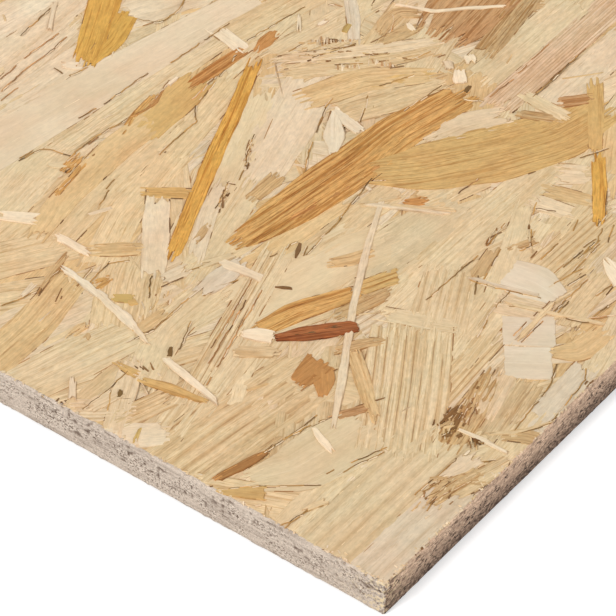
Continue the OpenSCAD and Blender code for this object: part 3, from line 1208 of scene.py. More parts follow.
@dataclass
class StrandFace:
    """A pressed face: strands by the thousand, most of them lying along the sheet.

    Attributes:
        sheet: The sheet.
        face: Which face it is.
        strips: How many pieces the face is joined into, each a strip along the sheet.
        seed: The seed of everything random on the face.
        cover: How many strands lie over any spot, on average.
        detail: Whether the near corner's listed strands are laid.
    """

    sheet: Sheet
    face: Face
    strips: int
    seed: int
    cover: float
    detail: bool

    # The mat: lengths in millimetres, angles in radians, the rest as shares and factors
    LEVEL = 0.22
    LENGTHS = (96.0, 26.0)
    LENGTH_LIMITS = (30.0, 150.0)
    WIDTH = 17.0
    WIDTH_SHAPE = 4.5
    WIDTH_LIMITS = (5.0, 42.0)
    ALONG = 0.85
    LEAN = 0.38
    ANY_WAY = (-1.6, 1.6)
    TIPS = (0.7, 1.0)
    FIGURES = (0.1, 0.6)
    DARK_FIGURE = 0.3
    RIDGES = (2.2, 4.2)
    RIDGED = 0.2
    SHADES = (0.93, 1.04)
    MAT_DEPTH = 1.1
    DEPTH_SHAPE = 1.4

    # The near corner, where the mat lies deeper and calmer under the listed strands
    ZONE_START = (-20.0, -10.0)
    ZONE = (375.0, 360.0)
    NEAR_COVER = 3.0
    NEAR_SINK = 0.03
    CALM_TONES = 5
    TOPMOST = 0.75
    HAND_DEPTH = 0.6
    SMOOTH = -0.15
    SHRED_RISES = (0.01, 0.06)
    SPLIT_RISE = 0.02
    STICK_RISE = 0.1
    # Splits wider than this are pits, each drawn as one dark piece of painted shade
    PIT = 2.0

    # The loose pieces on top
    SLIVERS = 40
    CHIPS = 26
    CALM = 125.0
    LITTER_DEPTHS = (0.27, 0.33)
    UPRIGHT = math.radians(36.0)
    CRUMBS = 300
    STREWN = 2000
    STREWN_RISE = 0.03

    # The tones that are drawn from, some with their weights
    CHIP_TONES = (Tone.PALE, Tone.CREAM, Tone.SAND, Tone.TAN, Tone.BROWN)
    GAP_SHADE_TONES = (Tone.UMBER, Tone.DEEP)
    # Every third tooth is a nut-brown chip, painted shade in the gap between fibres
    TOOTH_TONES = (Tone.PALE, Tone.NUT, Tone.BONE)
    MIX = (
        (Tone.CREAM, 0.30), (Tone.PALE, 0.14), (Tone.BLUSH, 0.12), (Tone.SAND, 0.20),
        (Tone.TAN, 0.11), (Tone.HONEY, 0.05), (Tone.BROWN, 0.03), (Tone.AMBER, 0.03),
        (Tone.GOLD, 0.01), (Tone.CLAY, 0.01),
    )
    CRUMB_MIX = (
        (Tone.BONE, 0.16), (Tone.PALE, 0.2), (Tone.CREAM, 0.27), (Tone.CHALK, 0.18),
        (Tone.BLUSH, 0.14), (Tone.UMBER, 0.05),
    )
    # The darkest two tones here are painted shade in the splits
    STREWN_MIX = (
        (Tone.PITCH, 0.3), (Tone.UMBER, 0.3), (Tone.BONE, 0.18), (Tone.CREAM, 0.14), (Tone.AMBER, 0.08),
    )
    LITTER_MIX = (
        (Tone.PALE, 0.18), (Tone.CREAM, 0.26), (Tone.SAND, 0.24), (Tone.TAN, 0.12),
        (Tone.BLUSH, 0.12), (Tone.BROWN, 0.08),
    )

    def build(self, finish: bpy.types.Material) -> list[bpy.types.Object]:
        """Lays the strands, joins them in strips and dresses them.

        Args:
            finish: The strands' finish.

        Returns:
            The strips, from the near edge to the far one.
        """
        rng = np.random.default_rng(self.seed)
        piles = [Pile(self.sheet, self.face) for _ in range(self.strips)]
        for cut in self.mat(rng):
            self.pile_for(piles, cut).cuts.append(cut)
        if self.detail:
            for cut in self.corner(rng):
                self.pile_for(piles, cut).cuts.append(cut)
            for cut in self.strewn(rng):
                self.pile_for(piles, cut).cuts.append(cut)
        label = "face_strands" if self.face is Face.TOP else "under_strands"
        pieces = []
        for number, pile in enumerate(piles, start=1):
            mesh = pile.mesh(f"{label}_{number:02d}")
            mesh.materials.append(finish)
            pieces.append(own(mesh))
        return pieces

    def pile_for(self, piles: list[Pile], cut: Cut) -> Pile:
        """Returns the strip that a strand's middle lies in."""
        share = cut.points[:, 1].mean() / self.sheet.width
        return piles[int(np.clip(share * self.strips, 0, self.strips - 1))]

    def mat(self, rng: Draws) -> Iterable[Cut]:
        """Scatters the strands of the mat over the face.

        Args:
            rng: The seeded source of their places.

        Yields:
            Each strand, cut to shape.
        """
        field_size = (self.sheet.length, self.sheet.width)
        mean_area = self.LENGTHS[0] * self.WIDTH
        count = int(self.cover * math.prod(field_size) / mean_area)
        middles = rng.uniform((0.0, 0.0), field_size, (count, 2))
        if self.detail:
            extra = int(self.NEAR_COVER * math.prod(self.ZONE) / mean_area)
            middles = np.vstack([middles, rng.uniform(self.ZONE_START, self.ZONE, (extra, 2))])
        tones = [tone for tone, _ in self.MIX]
        weights = np.array([weight for _, weight in self.MIX])
        for middle in middles:
            along = rng.random() < self.ALONG
            angle = rng.normal(0.0, self.LEAN) if along else rng.uniform(*self.ANY_WAY)
            span = float(np.clip(rng.normal(*self.LENGTHS), *self.LENGTH_LIMITS))
            wide = rng.gamma(self.WIDTH_SHAPE, self.WIDTH / self.WIDTH_SHAPE)
            wide = float(np.clip(wide, *self.WIDTH_LIMITS))
            reach = heading(angle) * span / 2.0
            close = self.detail and bool(np.all(middle - np.abs(reach) < np.array(self.ZONE)))
            choice = rng.choice(len(tones), p=weights / weights.sum())
            tone = tones[choice % self.CALM_TONES if close else choice]
            tip = rng.uniform(*self.TIPS, 2) * wide
            line = (
                (*(middle - reach), float(tip[0])),
                (*middle, wide),
                (*(middle + reach), float(tip[1])),
            )
            figure = float(rng.uniform(*self.FIGURES))
            figure += self.DARK_FIGURE if tone in (Tone.AMBER, Tone.BROWN) else 0.0
            ridge = float(rng.uniform(*self.RIDGES)) if close and rng.random() < self.RIDGED else 0.0
            shade = float(rng.uniform(*self.SHADES))
            strand = Strand(tone, line, figure=figure, ridge=ridge, shade=shade)
            rank = rng.random()
            depth = self.LEVEL + self.MAT_DEPTH * (1.0 - rank) ** self.DEPTH_SHAPE
            if close:
                depth += self.HAND_DEPTH + self.NEAR_SINK
            yield strand.cut(blade_of(8, 7) if close else blade_of(3, 3), depth, rng)
            for shred in strand.shreds(rng) if close and rank > self.TOPMOST else ():
                yield shred.cut(blade_of(3, 2), depth - rng.uniform(*self.SHRED_RISES), rng)

    def corner(self, rng: Draws) -> Iterable[Cut]:
        """Lays the near corner's own strands, splits and slivers.

        Args:
            rng: The seeded source of what is ragged.

        Yields:
            Each strand, cut to shape.
        """
        layout = CornerLayout()
        laid = layout.BROAD + layout.FEATURE
        for number, strand in enumerate(laid):
            depth = self.LEVEL + self.HAND_DEPTH * (1.0 - number / len(laid))
            yield strand.cut(strand.blade(), depth, rng)
            for shred in strand.shreds(rng) if strand.figure > self.SMOOTH else ():
                yield shred.cut(blade_of(3, 2), depth - rng.uniform(*self.SHRED_RISES), rng)
        for strand in layout.SPLITS:
            if strand.width > self.PIT:
                yield strand.cut(blade_of(5, 5), self.LEVEL - self.SPLIT_RISE, rng)
                continue
            for part in crack(strand, rng):
                yield part.cut(blade_of(6, 3), self.LEVEL - self.SPLIT_RISE, rng)
        for number, strand in enumerate(layout.STICKS):
            depth = self.LEVEL - self.STICK_RISE * (1.0 + number / len(layout.STICKS))
            yield strand.cut(strand.blade(), depth, rng)
        yield from self.litter(rng, self.SLIVERS, spans=(3.0, 9.0), widths=(0.25, 0.8))
        yield from self.litter(rng, self.CHIPS, spans=(4.0, 4.0), widths=(0.8, 3.2))
        yield from self.crumbs(rng)
        for patch in layout.STUBBLE:
            yield from self.stubble(rng, patch)
        for row in layout.TEETH:
            yield from self.teeth(rng, row)

    def stubble(self, rng: Draws, patch: Stubble) -> Iterable[Cut]:
        """Breaks the mat up into short chips over a patch.

        Args:
            rng: The seeded source of the chips.
            patch: Where the chips lie, and how.

        Yields:
            Each chip, cut to shape.
        """
        lean = math.radians(patch.turn)
        turned = np.array([[math.cos(lean), math.sin(lean)], [-math.sin(lean), math.cos(lean)]])
        for _ in range(patch.count):
            spot = np.array(patch.middle) + rng.normal(0.0, patch.spread) @ turned
            # Painted shade: some chips are dark, standing for the shaded gaps between the others
            gap = rng.random() < patch.dark
            tones = self.GAP_SHADE_TONES if gap else self.CHIP_TONES
            tone = tones[rng.integers(len(tones))]
            shade = rng.uniform(0.8, 1.7) if gap else rng.uniform(0.88, 1.06)
            yield self.chip(rng, tone, shade, spot, lean + rng.normal(0.0, 0.22), patch.depth)

    def teeth(self, rng: Draws, row: Teeth) -> Iterable[Cut]:
        """Lays a row of short upright fibres, with darker chips between them as painted shade in the gaps.

        Args:
            rng: The seeded source of the fibres.
            row: Where they stand.

        Yields:
            Each fibre, cut to shape.
        """
        way = np.subtract(row.last, row.first)
        for number in range(row.count):
            spot = np.array(row.first) + way * (number + rng.uniform(0.0, 0.6)) / row.count
            tone = self.TOOTH_TONES[number % len(self.TOOTH_TONES)]
            shade = rng.uniform(0.85, 1.04)
            yield self.chip(rng, tone, shade, spot, self.UPRIGHT + rng.normal(0.0, 0.12), 0.0)

    def chip(
        self, rng: Draws, tone: Tone, shade: float, spot: np.ndarray, angle: float, depth: float
    ) -> Cut:
        """Cuts one chip of the stubble.

        Args:
            rng: The seeded source of its size.
            tone: Its colour.
            shade: Factor on the colour.
            spot: Its middle, in millimetres.
            angle: The way it lies, in radians from the sheet's length.
            depth: How deep it lies below the topmost strands, in millimetres.

        Returns:
            The chip, cut to shape.
        """
        reach = heading(angle) * (0.5 + rng.gamma(2.0, 0.55))
        wide = rng.uniform(0.3, 0.8)
        line = ((*(spot - reach), wide * 0.6), (*spot, wide), (*(spot + reach), wide * 0.4))
        chip = Strand(tone, line, figure=0.3, fray=0.1, tear=0.3, thick=0.4, shade=shade, edged=False)
        return chip.cut(blade_of(4, 3), self.LEVEL + depth + rng.uniform(-0.08, 0.0), rng)

    def crumbs(self, rng: Draws) -> Iterable[Cut]:
        """Scatters the crumbs that the saw left along the two near arrises.

        Args:
            rng: The seeded source of their places.

        Yields:
            Each crumb, cut to shape.
        """
        for _ in range(self.CRUMBS):
            middle = np.array([rng.uniform(0.0, 1.0) ** 1.5 * self.ZONE[0], 0.2 + rng.gamma(1.3, 0.75)])
            if rng.random() < 0.5:
                middle = middle[::-1]
            angle = rng.uniform(*self.ANY_WAY)
            reach = heading(angle) * rng.uniform(0.4, 1.3)
            wide = rng.uniform(0.3, 0.9)
            line = ((*(middle - reach), wide), (*(middle + reach), wide * 0.6))
            tone = draw(rng, self.CRUMB_MIX)
            crumb = Strand(tone, line, figure=0.2, fray=0.1, tear=0.2, thick=0.5, edged=False)
            yield crumb.cut(blade_of(3, 3), self.LEVEL + rng.uniform(-0.1, 0.25), rng)

    def strewn(self, rng: Draws) -> Iterable[Cut]:
        """Scatters thin dark splits, which are painted shade in gaps, and pale slivers over the face away
        from the near corner.

        Args:
            rng: The seeded source of their places.

        Yields:
            Each split or sliver, cut to shape.
        """
        for middle in rng.uniform((0.0, 0.0), (self.sheet.length, self.sheet.width), (self.STREWN, 2)):
            if np.all(middle < self.ZONE):
                continue
            tone = draw(rng, self.STREWN_MIX)
            dark = tone in (Tone.PITCH, Tone.UMBER)
            angle = rng.normal(0.0, 0.45)
            wide = rng.uniform(0.3, 0.7) if dark else rng.uniform(0.8, 2.4)
            half = 3.0 + rng.gamma(2.0, 2.0 if dark else 5.0)
            reach = heading(angle) * half
            line = ((*(middle - reach), wide * 0.4), (*middle, wide), (*(middle + reach), wide * 0.5))
            strand = Strand(tone, line, figure=0.2, fray=0.1, tear=0.3, thick=0.4, edged=False)
            yield strand.cut(blade_of(3, 2), self.LEVEL - self.STREWN_RISE, rng)

    def litter(self, rng: Draws, count: int, spans: Pair, widths: Pair) -> Iterable[Cut]:
        """Scatters small pieces over the near corner.

        Args:
            rng: The seeded source of their places.
            count: How many there are.
            spans: The shortest length and how much longer most of them are, in millimetres.
            widths: The least and the greatest width, in millimetres.

        Yields:
            Each piece, cut to shape.
        """
        for _ in range(count):
            middle = rng.uniform((0.0, 0.0), self.ZONE)
            if middle.sum() < self.CALM:
                continue
            angle = rng.normal(0.15, 0.6)
            span = float(rng.gamma(2.0, spans[1] / 2.0) + spans[0])
            wide = float(rng.uniform(*widths))
            reach = heading(angle) * span / 2.0
            tone = draw(rng, self.LITTER_MIX)
            tips = rng.uniform(0.55, 1.0, 2) * wide
            line = ((*(middle - reach), tips[0]), (*middle, wide), (*(middle + reach), tips[1]))
            strand = Strand(tone, line, figure=0.25, fray=0.1, tear=0.8, thick=0.4)
            yield strand.cut(blade_of(4, 4), self.LEVEL + float(rng.uniform(*self.LITTER_DEPTHS)), rng)


@dataclass
class SawnSide:
    """One sawn side of the sheet: the ends and flanks of the strands, with open pores.

    Attributes:
        sheet: The sheet.
        side: Which side it is.
        seed: The seed of its pores.
        fine: Length from the near corner that is modelled finely, in millimetres.
        rows: Points up the side.
        stretch: Length of a pore along the side and its height, in millimetres.
    """

    sheet: Sheet
    side: Side
    seed: int
    fine: float
    rows: int
    stretch: Pair

    FINE_STEP = 0.6
    COARSE_STEP = 5.0
    CORNER = 1.5
    ARRIS = 0.9
    LOW_LIP = 0.3
    HIGH_LIP = 0.62
    BACK = 3.0
    SLOPE = 1.3
    PORE = 0.4
    ROUGH = 0.12
    FRAIL = 9.0
    FRAIL_PORES = 0.22
    FRAIL_WAVES = 0.3
    WAVE = (9.0, 2.4)
    FLAKE_STRETCH = 2.2
    FLAKE_HEIGHT = 0.75
    BREAK = (2.4, 30.0)
    UNBROKEN = 0.2
    PORE_RISE = (0.68, 0.88)
    WAVE_RISE = (0.3, 0.6)
    LEVEL_RISE = (0.22, 0.4)

    def build(self, finish: bpy.types.Material) -> bpy.types.Object:
        """Models the side and dresses it.

        Args:
            finish: The finish of the sawn wood.

        Returns:
            The finished piece.
        """
        length = self.sheet.length if self.side.value[0] == 0 else self.sheet.width
        clear = self.CORNER * (1.0 - math.sqrt(0.5))
        fine = np.arange(clear, max(self.fine, clear + 1.0), self.FINE_STEP)
        coarse_count = int((length - clear - fine[-1]) / self.COARSE_STEP)
        coarse = np.linspace(fine[-1], length - clear, coarse_count + 1)[1:]
        along = np.concatenate([fine, coarse])
        up = np.linspace(self.LOW_LIP, self.sheet.thickness - self.HIGH_LIP, self.rows)

        shape = bmesh.new()
        bmesh.ops.create_grid(shape, x_segments=len(along) - 1, y_segments=self.rows - 1, size=0.5)
        spot = np.array([vert.co for vert in shape.verts])
        share = (spot[:, :2] - spot[:, :2].min(axis=0)) / np.ptp(spot[:, :2], axis=0)
        column = np.rint(share[:, 0] * (len(along) - 1)).astype(int)
        row = np.rint(share[:, 1] * (self.rows - 1)).astype(int)
        inward, pit = self.relief(along, up)
        pits = shape.verts.layers.float.new("pit")
        frail = shape.verts.layers.float.new("frail")
        for vert, place, level in zip(shape.verts, column.tolist(), row.tolist()):
            vert.co = self.spot(along[place], inward[place, level], up[level])
            vert[pits] = pit[place, level]
            vert[frail] = math.exp(-along[place] / self.FRAIL)
        rim = [edge for edge in shape.edges if edge.is_boundary]
        wall = bmesh.ops.extrude_edge_only(shape, edges=rim)["geom"]
        back = Vector((*self.side.value, 0.0)) * -self.BACK * MM
        foot = [part for part in wall if isinstance(part, bmesh.types.BMVert)]
        bmesh.ops.translate(shape, verts=foot, vec=back)
        middle = (self.sheet.low + self.sheet.high) / 2.0
        squeeze = Vector((1.0, 1.0, 1.0 - 2.0 * self.SLOPE / self.sheet.thickness))
        bmesh.ops.scale(shape, vec=squeeze, verts=foot, space=Matrix.Translation(-middle))
        bmesh.ops.edgeloop_fill(shape, edges=[edge for edge in shape.edges if edge.is_boundary])
        bmesh.ops.recalc_face_normals(shape, faces=shape.faces)
        mesh = bpy.data.meshes.new(f"sawn_{self.side.name.lower()}")
        shape.to_mesh(mesh)
        shape.free()
        mesh.polygons.foreach_set("use_smooth", [len(item.vertices) == 4 for item in mesh.polygons])
        mesh.materials.append(finish)
        return own(mesh)

    def spot(self, along: float, inward: float, up: float) -> Vector:
        """Returns the place of a point on the side.

        Args:
            along: Millimetres along the side from its near end.
            inward: Millimetres in from the sheet's edge.
            up: Millimetres up from the underside.

        Returns:
            The point in metres in the frame.
        """
        low, high = self.sheet.low, self.sheet.high
        way = Vector((*self.side.value, 0.0))
        edge = high if sum(self.side.value) > 0 else low
        if self.side.value[0] == 0:
            return Vector((low.x + along * MM, edge.y - way.y * inward * MM, low.z + up * MM))
        return Vector((edge.x - way.x * inward * MM, low.y + along * MM, low.z + up * MM))

    def relief(self, along: np.ndarray, up: np.ndarray) -> tuple[np.ndarray, np.ndarray]:
        """Works out how far the sawn surface lies in from the sheet's edge.

        Args:
            along: The columns' places, in millimetres.
            up: The rows' places, in millimetres.

        Returns:
            For each column and row, the inset in millimetres, and how much of a pore is there.
        """
        rng = np.random.default_rng(self.seed)
        length = along[-1] + along[0]
        corner = np.minimum(along, length - along).clip(0.0, self.CORNER)
        inset = self.CORNER - np.sqrt(self.CORNER**2 - (self.CORNER - corner) ** 2)
        arris = np.minimum(up - up[0], up[-1] - up).clip(0.0, self.ARRIS)
        roll = self.ARRIS - np.sqrt(self.ARRIS**2 - (self.ARRIS - arris) ** 2)
        waves = self.lattice(rng, along, up, *self.WAVE)
        flakes = self.lattice(rng, along, up, self.stretch[0] * self.FLAKE_STRETCH, self.FLAKE_HEIGHT)
        pores = self.lattice(rng, along, up, *self.stretch)
        level = (up / self.sheet.thickness)[None, :]
        near = np.exp(-along / self.FRAIL)[:, None]
        pit = ease(*self.PORE_RISE, pores + self.FRAIL_PORES * near)
        pit = pit * ease(*self.WAVE_RISE, waves + self.FRAIL_WAVES * near) * ease(*self.LEVEL_RISE, level)
        broken = self.UNBROKEN + (1.0 - self.UNBROKEN) * self.lattice(rng, along, up, *self.BREAK)
        depth = inset[:, None] + roll[None, :] * broken
        depth = depth + self.ROUGH * waves + self.ROUGH * flakes + self.PORE * pit
        return depth, pit

    @staticmethod
    def lattice(
        rng: Draws, along: np.ndarray, up: np.ndarray, wide: float, high: float
    ) -> np.ndarray:
        """Draws smooth noise over the side.

        Args:
            rng: The seeded source of the noise.
            along: The columns' places, in millimetres.
            up: The rows' places, in millimetres.
            wide: The size of a mark along the side, in millimetres.
            high: The size of a mark up the side, in millimetres.

        Returns:
            Values from 0 to 1 for each column and row.
        """
        knots = rng.random((int(along[-1] / wide) + 3, int(up[-1] / high) + 3))
        place, level = along / wide, up / high
        column, row = place.astype(int), level.astype(int)
        x = ease(0.0, 1.0, place - column)[:, None]
        y = ease(0.0, 1.0, level - row)[None, :]
        near = knots[column][:, row] * (1.0 - y) + knots[column][:, row + 1] * y
        far = knots[column + 1][:, row] * (1.0 - y) + knots[column + 1][:, row + 1] * y
        return near * (1.0 - x) + far * x


@dataclass
class BoardCore:
    """The pressed wood under the two faces, seen only in the pits between their strands.

    Attributes:
        sheet: The sheet.
        inset: How far the core lies in from the sawn sides, in millimetres.
        cover: How far it lies below the two faces, in millimetres.
    """

    sheet: Sheet
    inset: float = 1.6
    cover: float = 2.4

    EASE = 0.6

    def build(self, finish: bpy.types.Material) -> bpy.types.Object:
        """Models the core and dresses it.

        Args:
            finish: The finish of the core.

        Returns:
            The finished piece.
        """
        shape = bmesh.new()
        bmesh.ops.create_cube(shape, size=1.0)
        margin = Vector((self.inset, self.inset, self.cover)) * MM
        low, high = self.sheet.low + margin, self.sheet.high - margin
        bmesh.ops.scale(shape, vec=high - low, verts=shape.verts)
        bmesh.ops.translate(shape, vec=(low + high) / 2.0, verts=shape.verts)
        bmesh.ops.bevel(
            shape, geom=shape.edges[:], offset=self.EASE * MM, affect="EDGES", segments=2, profile=0.5,
            material=-1,
        )
        mesh = bpy.data.meshes.new("board_core")
        shape.to_mesh(mesh)
        shape.free()
        mesh.materials.append(finish)
        return own(mesh)


def own(mesh: bpy.types.Mesh) -> bpy.types.Object:
    """Makes a mesh a piece of the sheet.

    Args:
        mesh: The finished mesh, in the frame.

    Returns:
        Its object, which rides on the sheet's body and stands for the CAD node.
    """
    piece = bpy.data.objects.new(mesh.name, mesh)
    bpy.context.scene.collection.objects.link(piece)
    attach(piece, BODY)
    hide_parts(NODE)
    return piece


class Shader:
    """A material's nodes, added one after the other."""

    BUMP_DEPTH = 0.2

    def __init__(self, name: str) -> None:
        """Starts a material with only a Principled shader in it.

        Args:
            name: The material's name.
        """
        self.material = bpy.data.materials.new(name)
        self.material.use_nodes = True
        self.tree = self.material.node_tree
        self.tree.nodes.clear()
        self.surface = self.tree.nodes.new("ShaderNodeBsdfPrincipled")
        output = self.tree.nodes.new("ShaderNodeOutputMaterial")
        self.join(self.surface.outputs[0], output.inputs["Surface"])

    def join(self, source: Socket, target: Socket) -> None:
        """Links one socket to another."""
        self.tree.links.new(source, target)

    def feed(self, node: bpy.types.Node, feeds: dict[int | str, object]) -> None:
        """Links a node's inputs to other sockets, or sets their values.

        Args:
            node: The node.
            feeds: A socket or a plain value for some of its inputs, by name or number.
        """
        for name, value in feeds.items():
            if isinstance(value, Socket):
                self.join(value, node.inputs[name])
            else:
                node.inputs[name].default_value = value

    def add(
        self, kind: str, feeds: dict[int | str, object], output: int | str = 0, **settings: str
    ) -> Socket:
        """Adds a node.

        Args:
            kind: The node's kind.
            feeds: What its inputs are fed, by name or number.
            output: The output that is wanted.
            **settings: The node's own settings.

        Returns:
            That output.
        """
        node = self.tree.nodes.new(f"ShaderNode{kind}")
        for name, value in settings.items():
            setattr(node, name, value)
        self.feed(node, feeds)
        return node.outputs[output]

    def coat(self, colour: object, rough: object, gloss: float) -> None:
        """Feeds the surface its colour, its roughness and its specular level."""
        feeds = {"Base Color": colour, "Roughness": rough, "Specular IOR Level": gloss}
        self.feed(self.surface, feeds)

    def mark(self, name: str, output: str) -> Socket:
        """Returns an attribute of the mesh."""
        return self.add("Attribute", {}, output, attribute_name=name)

    def place(self) -> Socket:
        """Returns the Object coordinates."""
        return self.add("TexCoord", {}, "Object")

    def axes(self, vector: Socket) -> list[Socket]:
        """Returns the X, Y and Z of a vector."""
        return list(self.add("SeparateXYZ", {0: vector}).node.outputs)

    def noise(self, vector: Socket, scale: Triple, detail: float = 2.0, rough: float = 0.5) -> Socket:
        """Returns noise about 0.5 over coordinates times a scale for each axis."""
        feeds = {"Vector": self.add("Mapping", {"Vector": vector, "Scale": scale}), "Scale": 1.0}
        return self.add("TexNoise", {**feeds, "Detail": detail, "Roughness": rough}, "Fac")

    def sums(self, operation: str, *values: object) -> Socket:
        """Returns what a Math node makes of numbers or sockets."""
        return self.add("Math", dict(enumerate(values)), operation=operation)

    def times(self, first: object, second: object) -> Socket:
        """Returns the product of two numbers or sockets."""
        return self.sums("MULTIPLY", first, second)

    def blend(self, value: object, factor: float, base: object) -> Socket:
        """Returns a value times a factor, plus a base."""
        return self.sums("MULTIPLY_ADD", value, factor, base)

    def step(
        self, value: object, low: object, high: object, bottom: float = 0.0, top: float = 1.0
    ) -> Socket:
        """Returns a smooth step from bottom to top as the value goes from low to high."""
        ends = {"From Min": low, "From Max": high, "To Min": bottom, "To Max": top}
        return self.add("MapRange", {"Value": value, **ends}, interpolation_type="SMOOTHSTEP")

    def mix(self, share: object, first: object, second: object, blend: str = "MIX") -> Socket:
        """Returns two colours mixed by the share of the second one."""
        feeds = {0: share, 6: first, 7: second}
        return self.add("Mix", feeds, 2, data_type="RGBA", blend_type=blend)

    def tint(self, colour: object, factor: object) -> Socket:
        """Returns a colour times another one."""
        return self.mix(1.0, colour, factor, "MULTIPLY")

    def grey(self, value: Socket) -> Socket:
        """Returns a number as a grey colour."""
        return self.add("CombineColor", {0: value, 1: value, 2: value})

    def bump(self, height: Socket, strength: float) -> None:
        """Adds a bump to the surface from a height from 0 to about 1."""
        feeds = {"Strength": strength, "Distance": self.BUMP_DEPTH * MM, "Height": height}
        self.join(self.add("Bump", feeds), self.surface.inputs["Normal"])


@dataclass(frozen=True)
class StrandFinish:
    """Dry softwood strands with a trace of resin: fibres, growth lines and pores, with painted shade at the
    edges and in the ridges' valleys, and painted glints.

    Attributes:
        fibre: Repeats of the fibres in a metre, along and across the strand.
        line: Repeats of the shallow lines that the flaking knife left.
        dash: Repeats of the short flecks.
        growth: Repeats of the growth lines.
        streak: Repeats of the dark streaks.
        pore: Repeats of the pores.
        thread: Repeats of the thin dark fibres, and of the painted glints along the grain.
        mottle: Repeats of the blotches.
        edge: Width of the painted shade along the edge, in millimetres.
        gloss: Specular level of the wax on the strands.
    """

    fibre: Pair = (85.0, 1600.0)
    line: Pair = (20.0, 480.0)
    dash: Pair = (300.0, 1700.0)
    growth: Pair = (5.0, 300.0)
    streak: Pair = (16.0, 620.0)
    pore: Pair = (170.0, 1900.0)
    thread: Pair = (34.0, 1100.0)
    mottle: Pair = (260.0, 520.0)
    edge: float = 0.45
    gloss: float = 0.25

    # Warm tint for the grain's rings, streaks and pores, and also the painted shade in the ridges' valleys
    WARM = (0.68, 0.53, 0.36, 1.0)
    GROOVE_SHADE = (0.50, 0.34, 0.20, 1.0)
    THREAD = (0.60, 0.45, 0.29, 1.0)
    SHINE = (1.12, 1.16, 1.24, 1.0)
    ROSY = (1.015, 0.988, 0.975, 1.0)
    COOL = (0.988, 1.008, 1.0, 1.0)
    EDGE_SHADE = (0.42, 0.30, 0.19, 1.0)

    def material(self) -> bpy.types.Material:
        """Builds the shader from the strands' own attributes.

        Returns:
            The strands' material.
        """
        shader = Shader("strand_wood")
        grain = shader.mark("grain", "Vector")
        tone = shader.mark("tone", "Color")
        to_side, to_end, ridge = shader.axes(shader.mark("reach", "Vector"))
        figure = tone.node.outputs["Alpha"]

        fibre = shader.noise(grain, (*self.fibre, 1.0), 2.0, 0.6)
        lines = shader.noise(grain, (*self.line, 1.0), 2.0)
        growth = shader.noise(grain, (*self.growth, 1.0), 1.0)
        streak = shader.step(shader.noise(grain, (*self.streak, 1.0), 3.0, 0.6), 0.51, 0.64)
        pore = shader.step(shader.noise(grain, (*self.pore, 1.0), 1.0), 0.58, 0.68)
        cloud = shader.noise(grain, (22.0, 90.0, 1.0), 2.0)
        broken = shader.step(shader.noise(grain, (45.0, 160.0, 1.0), 1.0), 0.42, 0.58)

        dash = shader.noise(grain, (*self.dash, 1.0), 2.0, 0.6)
        wave = shader.blend(lines, 0.28, shader.blend(dash, 0.52, shader.blend(fibre, 0.3, -0.55)))
        light = shader.times(wave, shader.blend(figure, 0.9, 0.28))
        light = shader.sums("ADD", light, 1.0)
        wood = shader.tint(tone, shader.grey(light))
        warm = shader.tint(wood, self.WARM)
        # Painted shade: the ridges' valleys are tinted darker, and the bottoms of the valleys darker still
        sway = shader.noise(grain, (14.0, 90.0, 1.3), 1.0)
        turns = shader.times(ridge, shader.blend(sway, 0.3, 6.13))
        crest = shader.sums("COSINE", turns)
        valley = shader.times(shader.step(crest, 0.4, -1.0, 0.0, 0.36), shader.blend(figure, 0.9, 0.5))
        wood = shader.mix(valley, wood, warm)
        gap = shader.noise(grain, (40.0, 300.0, 1.9), 1.0)
        groove_shade = shader.times(shader.step(crest, -0.86, -0.99), shader.step(gap, 0.4, 0.56, 0.1, 0.75))
        groove_shade = shader.times(groove_shade, shader.blend(figure, 1.8, 0.1))
        wood = shader.mix(groove_shade, wood, shader.tint(wood, self.GROOVE_SHADE))
        away = shader.sums("ABSOLUTE", shader.sums("SUBTRACT", growth, 0.5))
        ring = shader.times(shader.step(away, 0.0, 0.05, 1.0, 0.0), broken)
        ring = shader.times(ring, shader.blend(figure, 0.8, 0.06))
        marks = shader.times(streak, shader.blend(figure, 0.85, 0.04))
        wood = shader.mix(shader.sums("MAXIMUM", ring, marks), wood, warm)
        thread = shader.step(shader.noise(grain, (*self.thread, 2.3), 2.0, 0.55), 0.59, 0.68)
        thread = shader.times(thread, shader.blend(figure, 0.65, 0.2))
        wood = shader.mix(thread, wood, shader.tint(wood, self.THREAD))
        # Painted glint: thin streaks along the grain are lightened towards bluish white, as highlights
        shine = shader.step(shader.noise(grain, (*self.thread, 3.1), 2.0, 0.55), 0.58, 0.68, 0.0, 0.5)
        wood = shader.mix(shine, wood, shader.tint(wood, self.SHINE))
        clump = shader.step(shader.noise(grain, (25.0, 110.0, 1.0), 1.0), 0.45, 0.62, 0.1, 0.95)
        clump = shader.times(clump, shader.blend(figure, 0.7, 0.28))
        wood = shader.mix(shader.times(pore, clump), wood, warm)
        wood = shader.mix(shader.step(cloud, 0.35, 0.75, 0.0, 0.3), wood, warm)

        mottle = shader.noise(grain, (*self.mottle, 1.5), 3.0, 0.65)
        speckle = shader.sums("SUBTRACT", mottle, 0.5)
        speckle = shader.times(speckle, shader.step(figure, -0.2, 0.1, 0.4, 1.0))
        wood = shader.tint(wood, shader.grey(shader.blend(speckle, 0.56, 1.0)))
        hue = shader.step(shader.noise(shader.place(), (45.0, 45.0, 45.0), 2.0), 0.36, 0.64)
        blush = shader.tint(wood, self.ROSY)
        wood = shader.mix(hue, blush, shader.tint(wood, self.COOL))

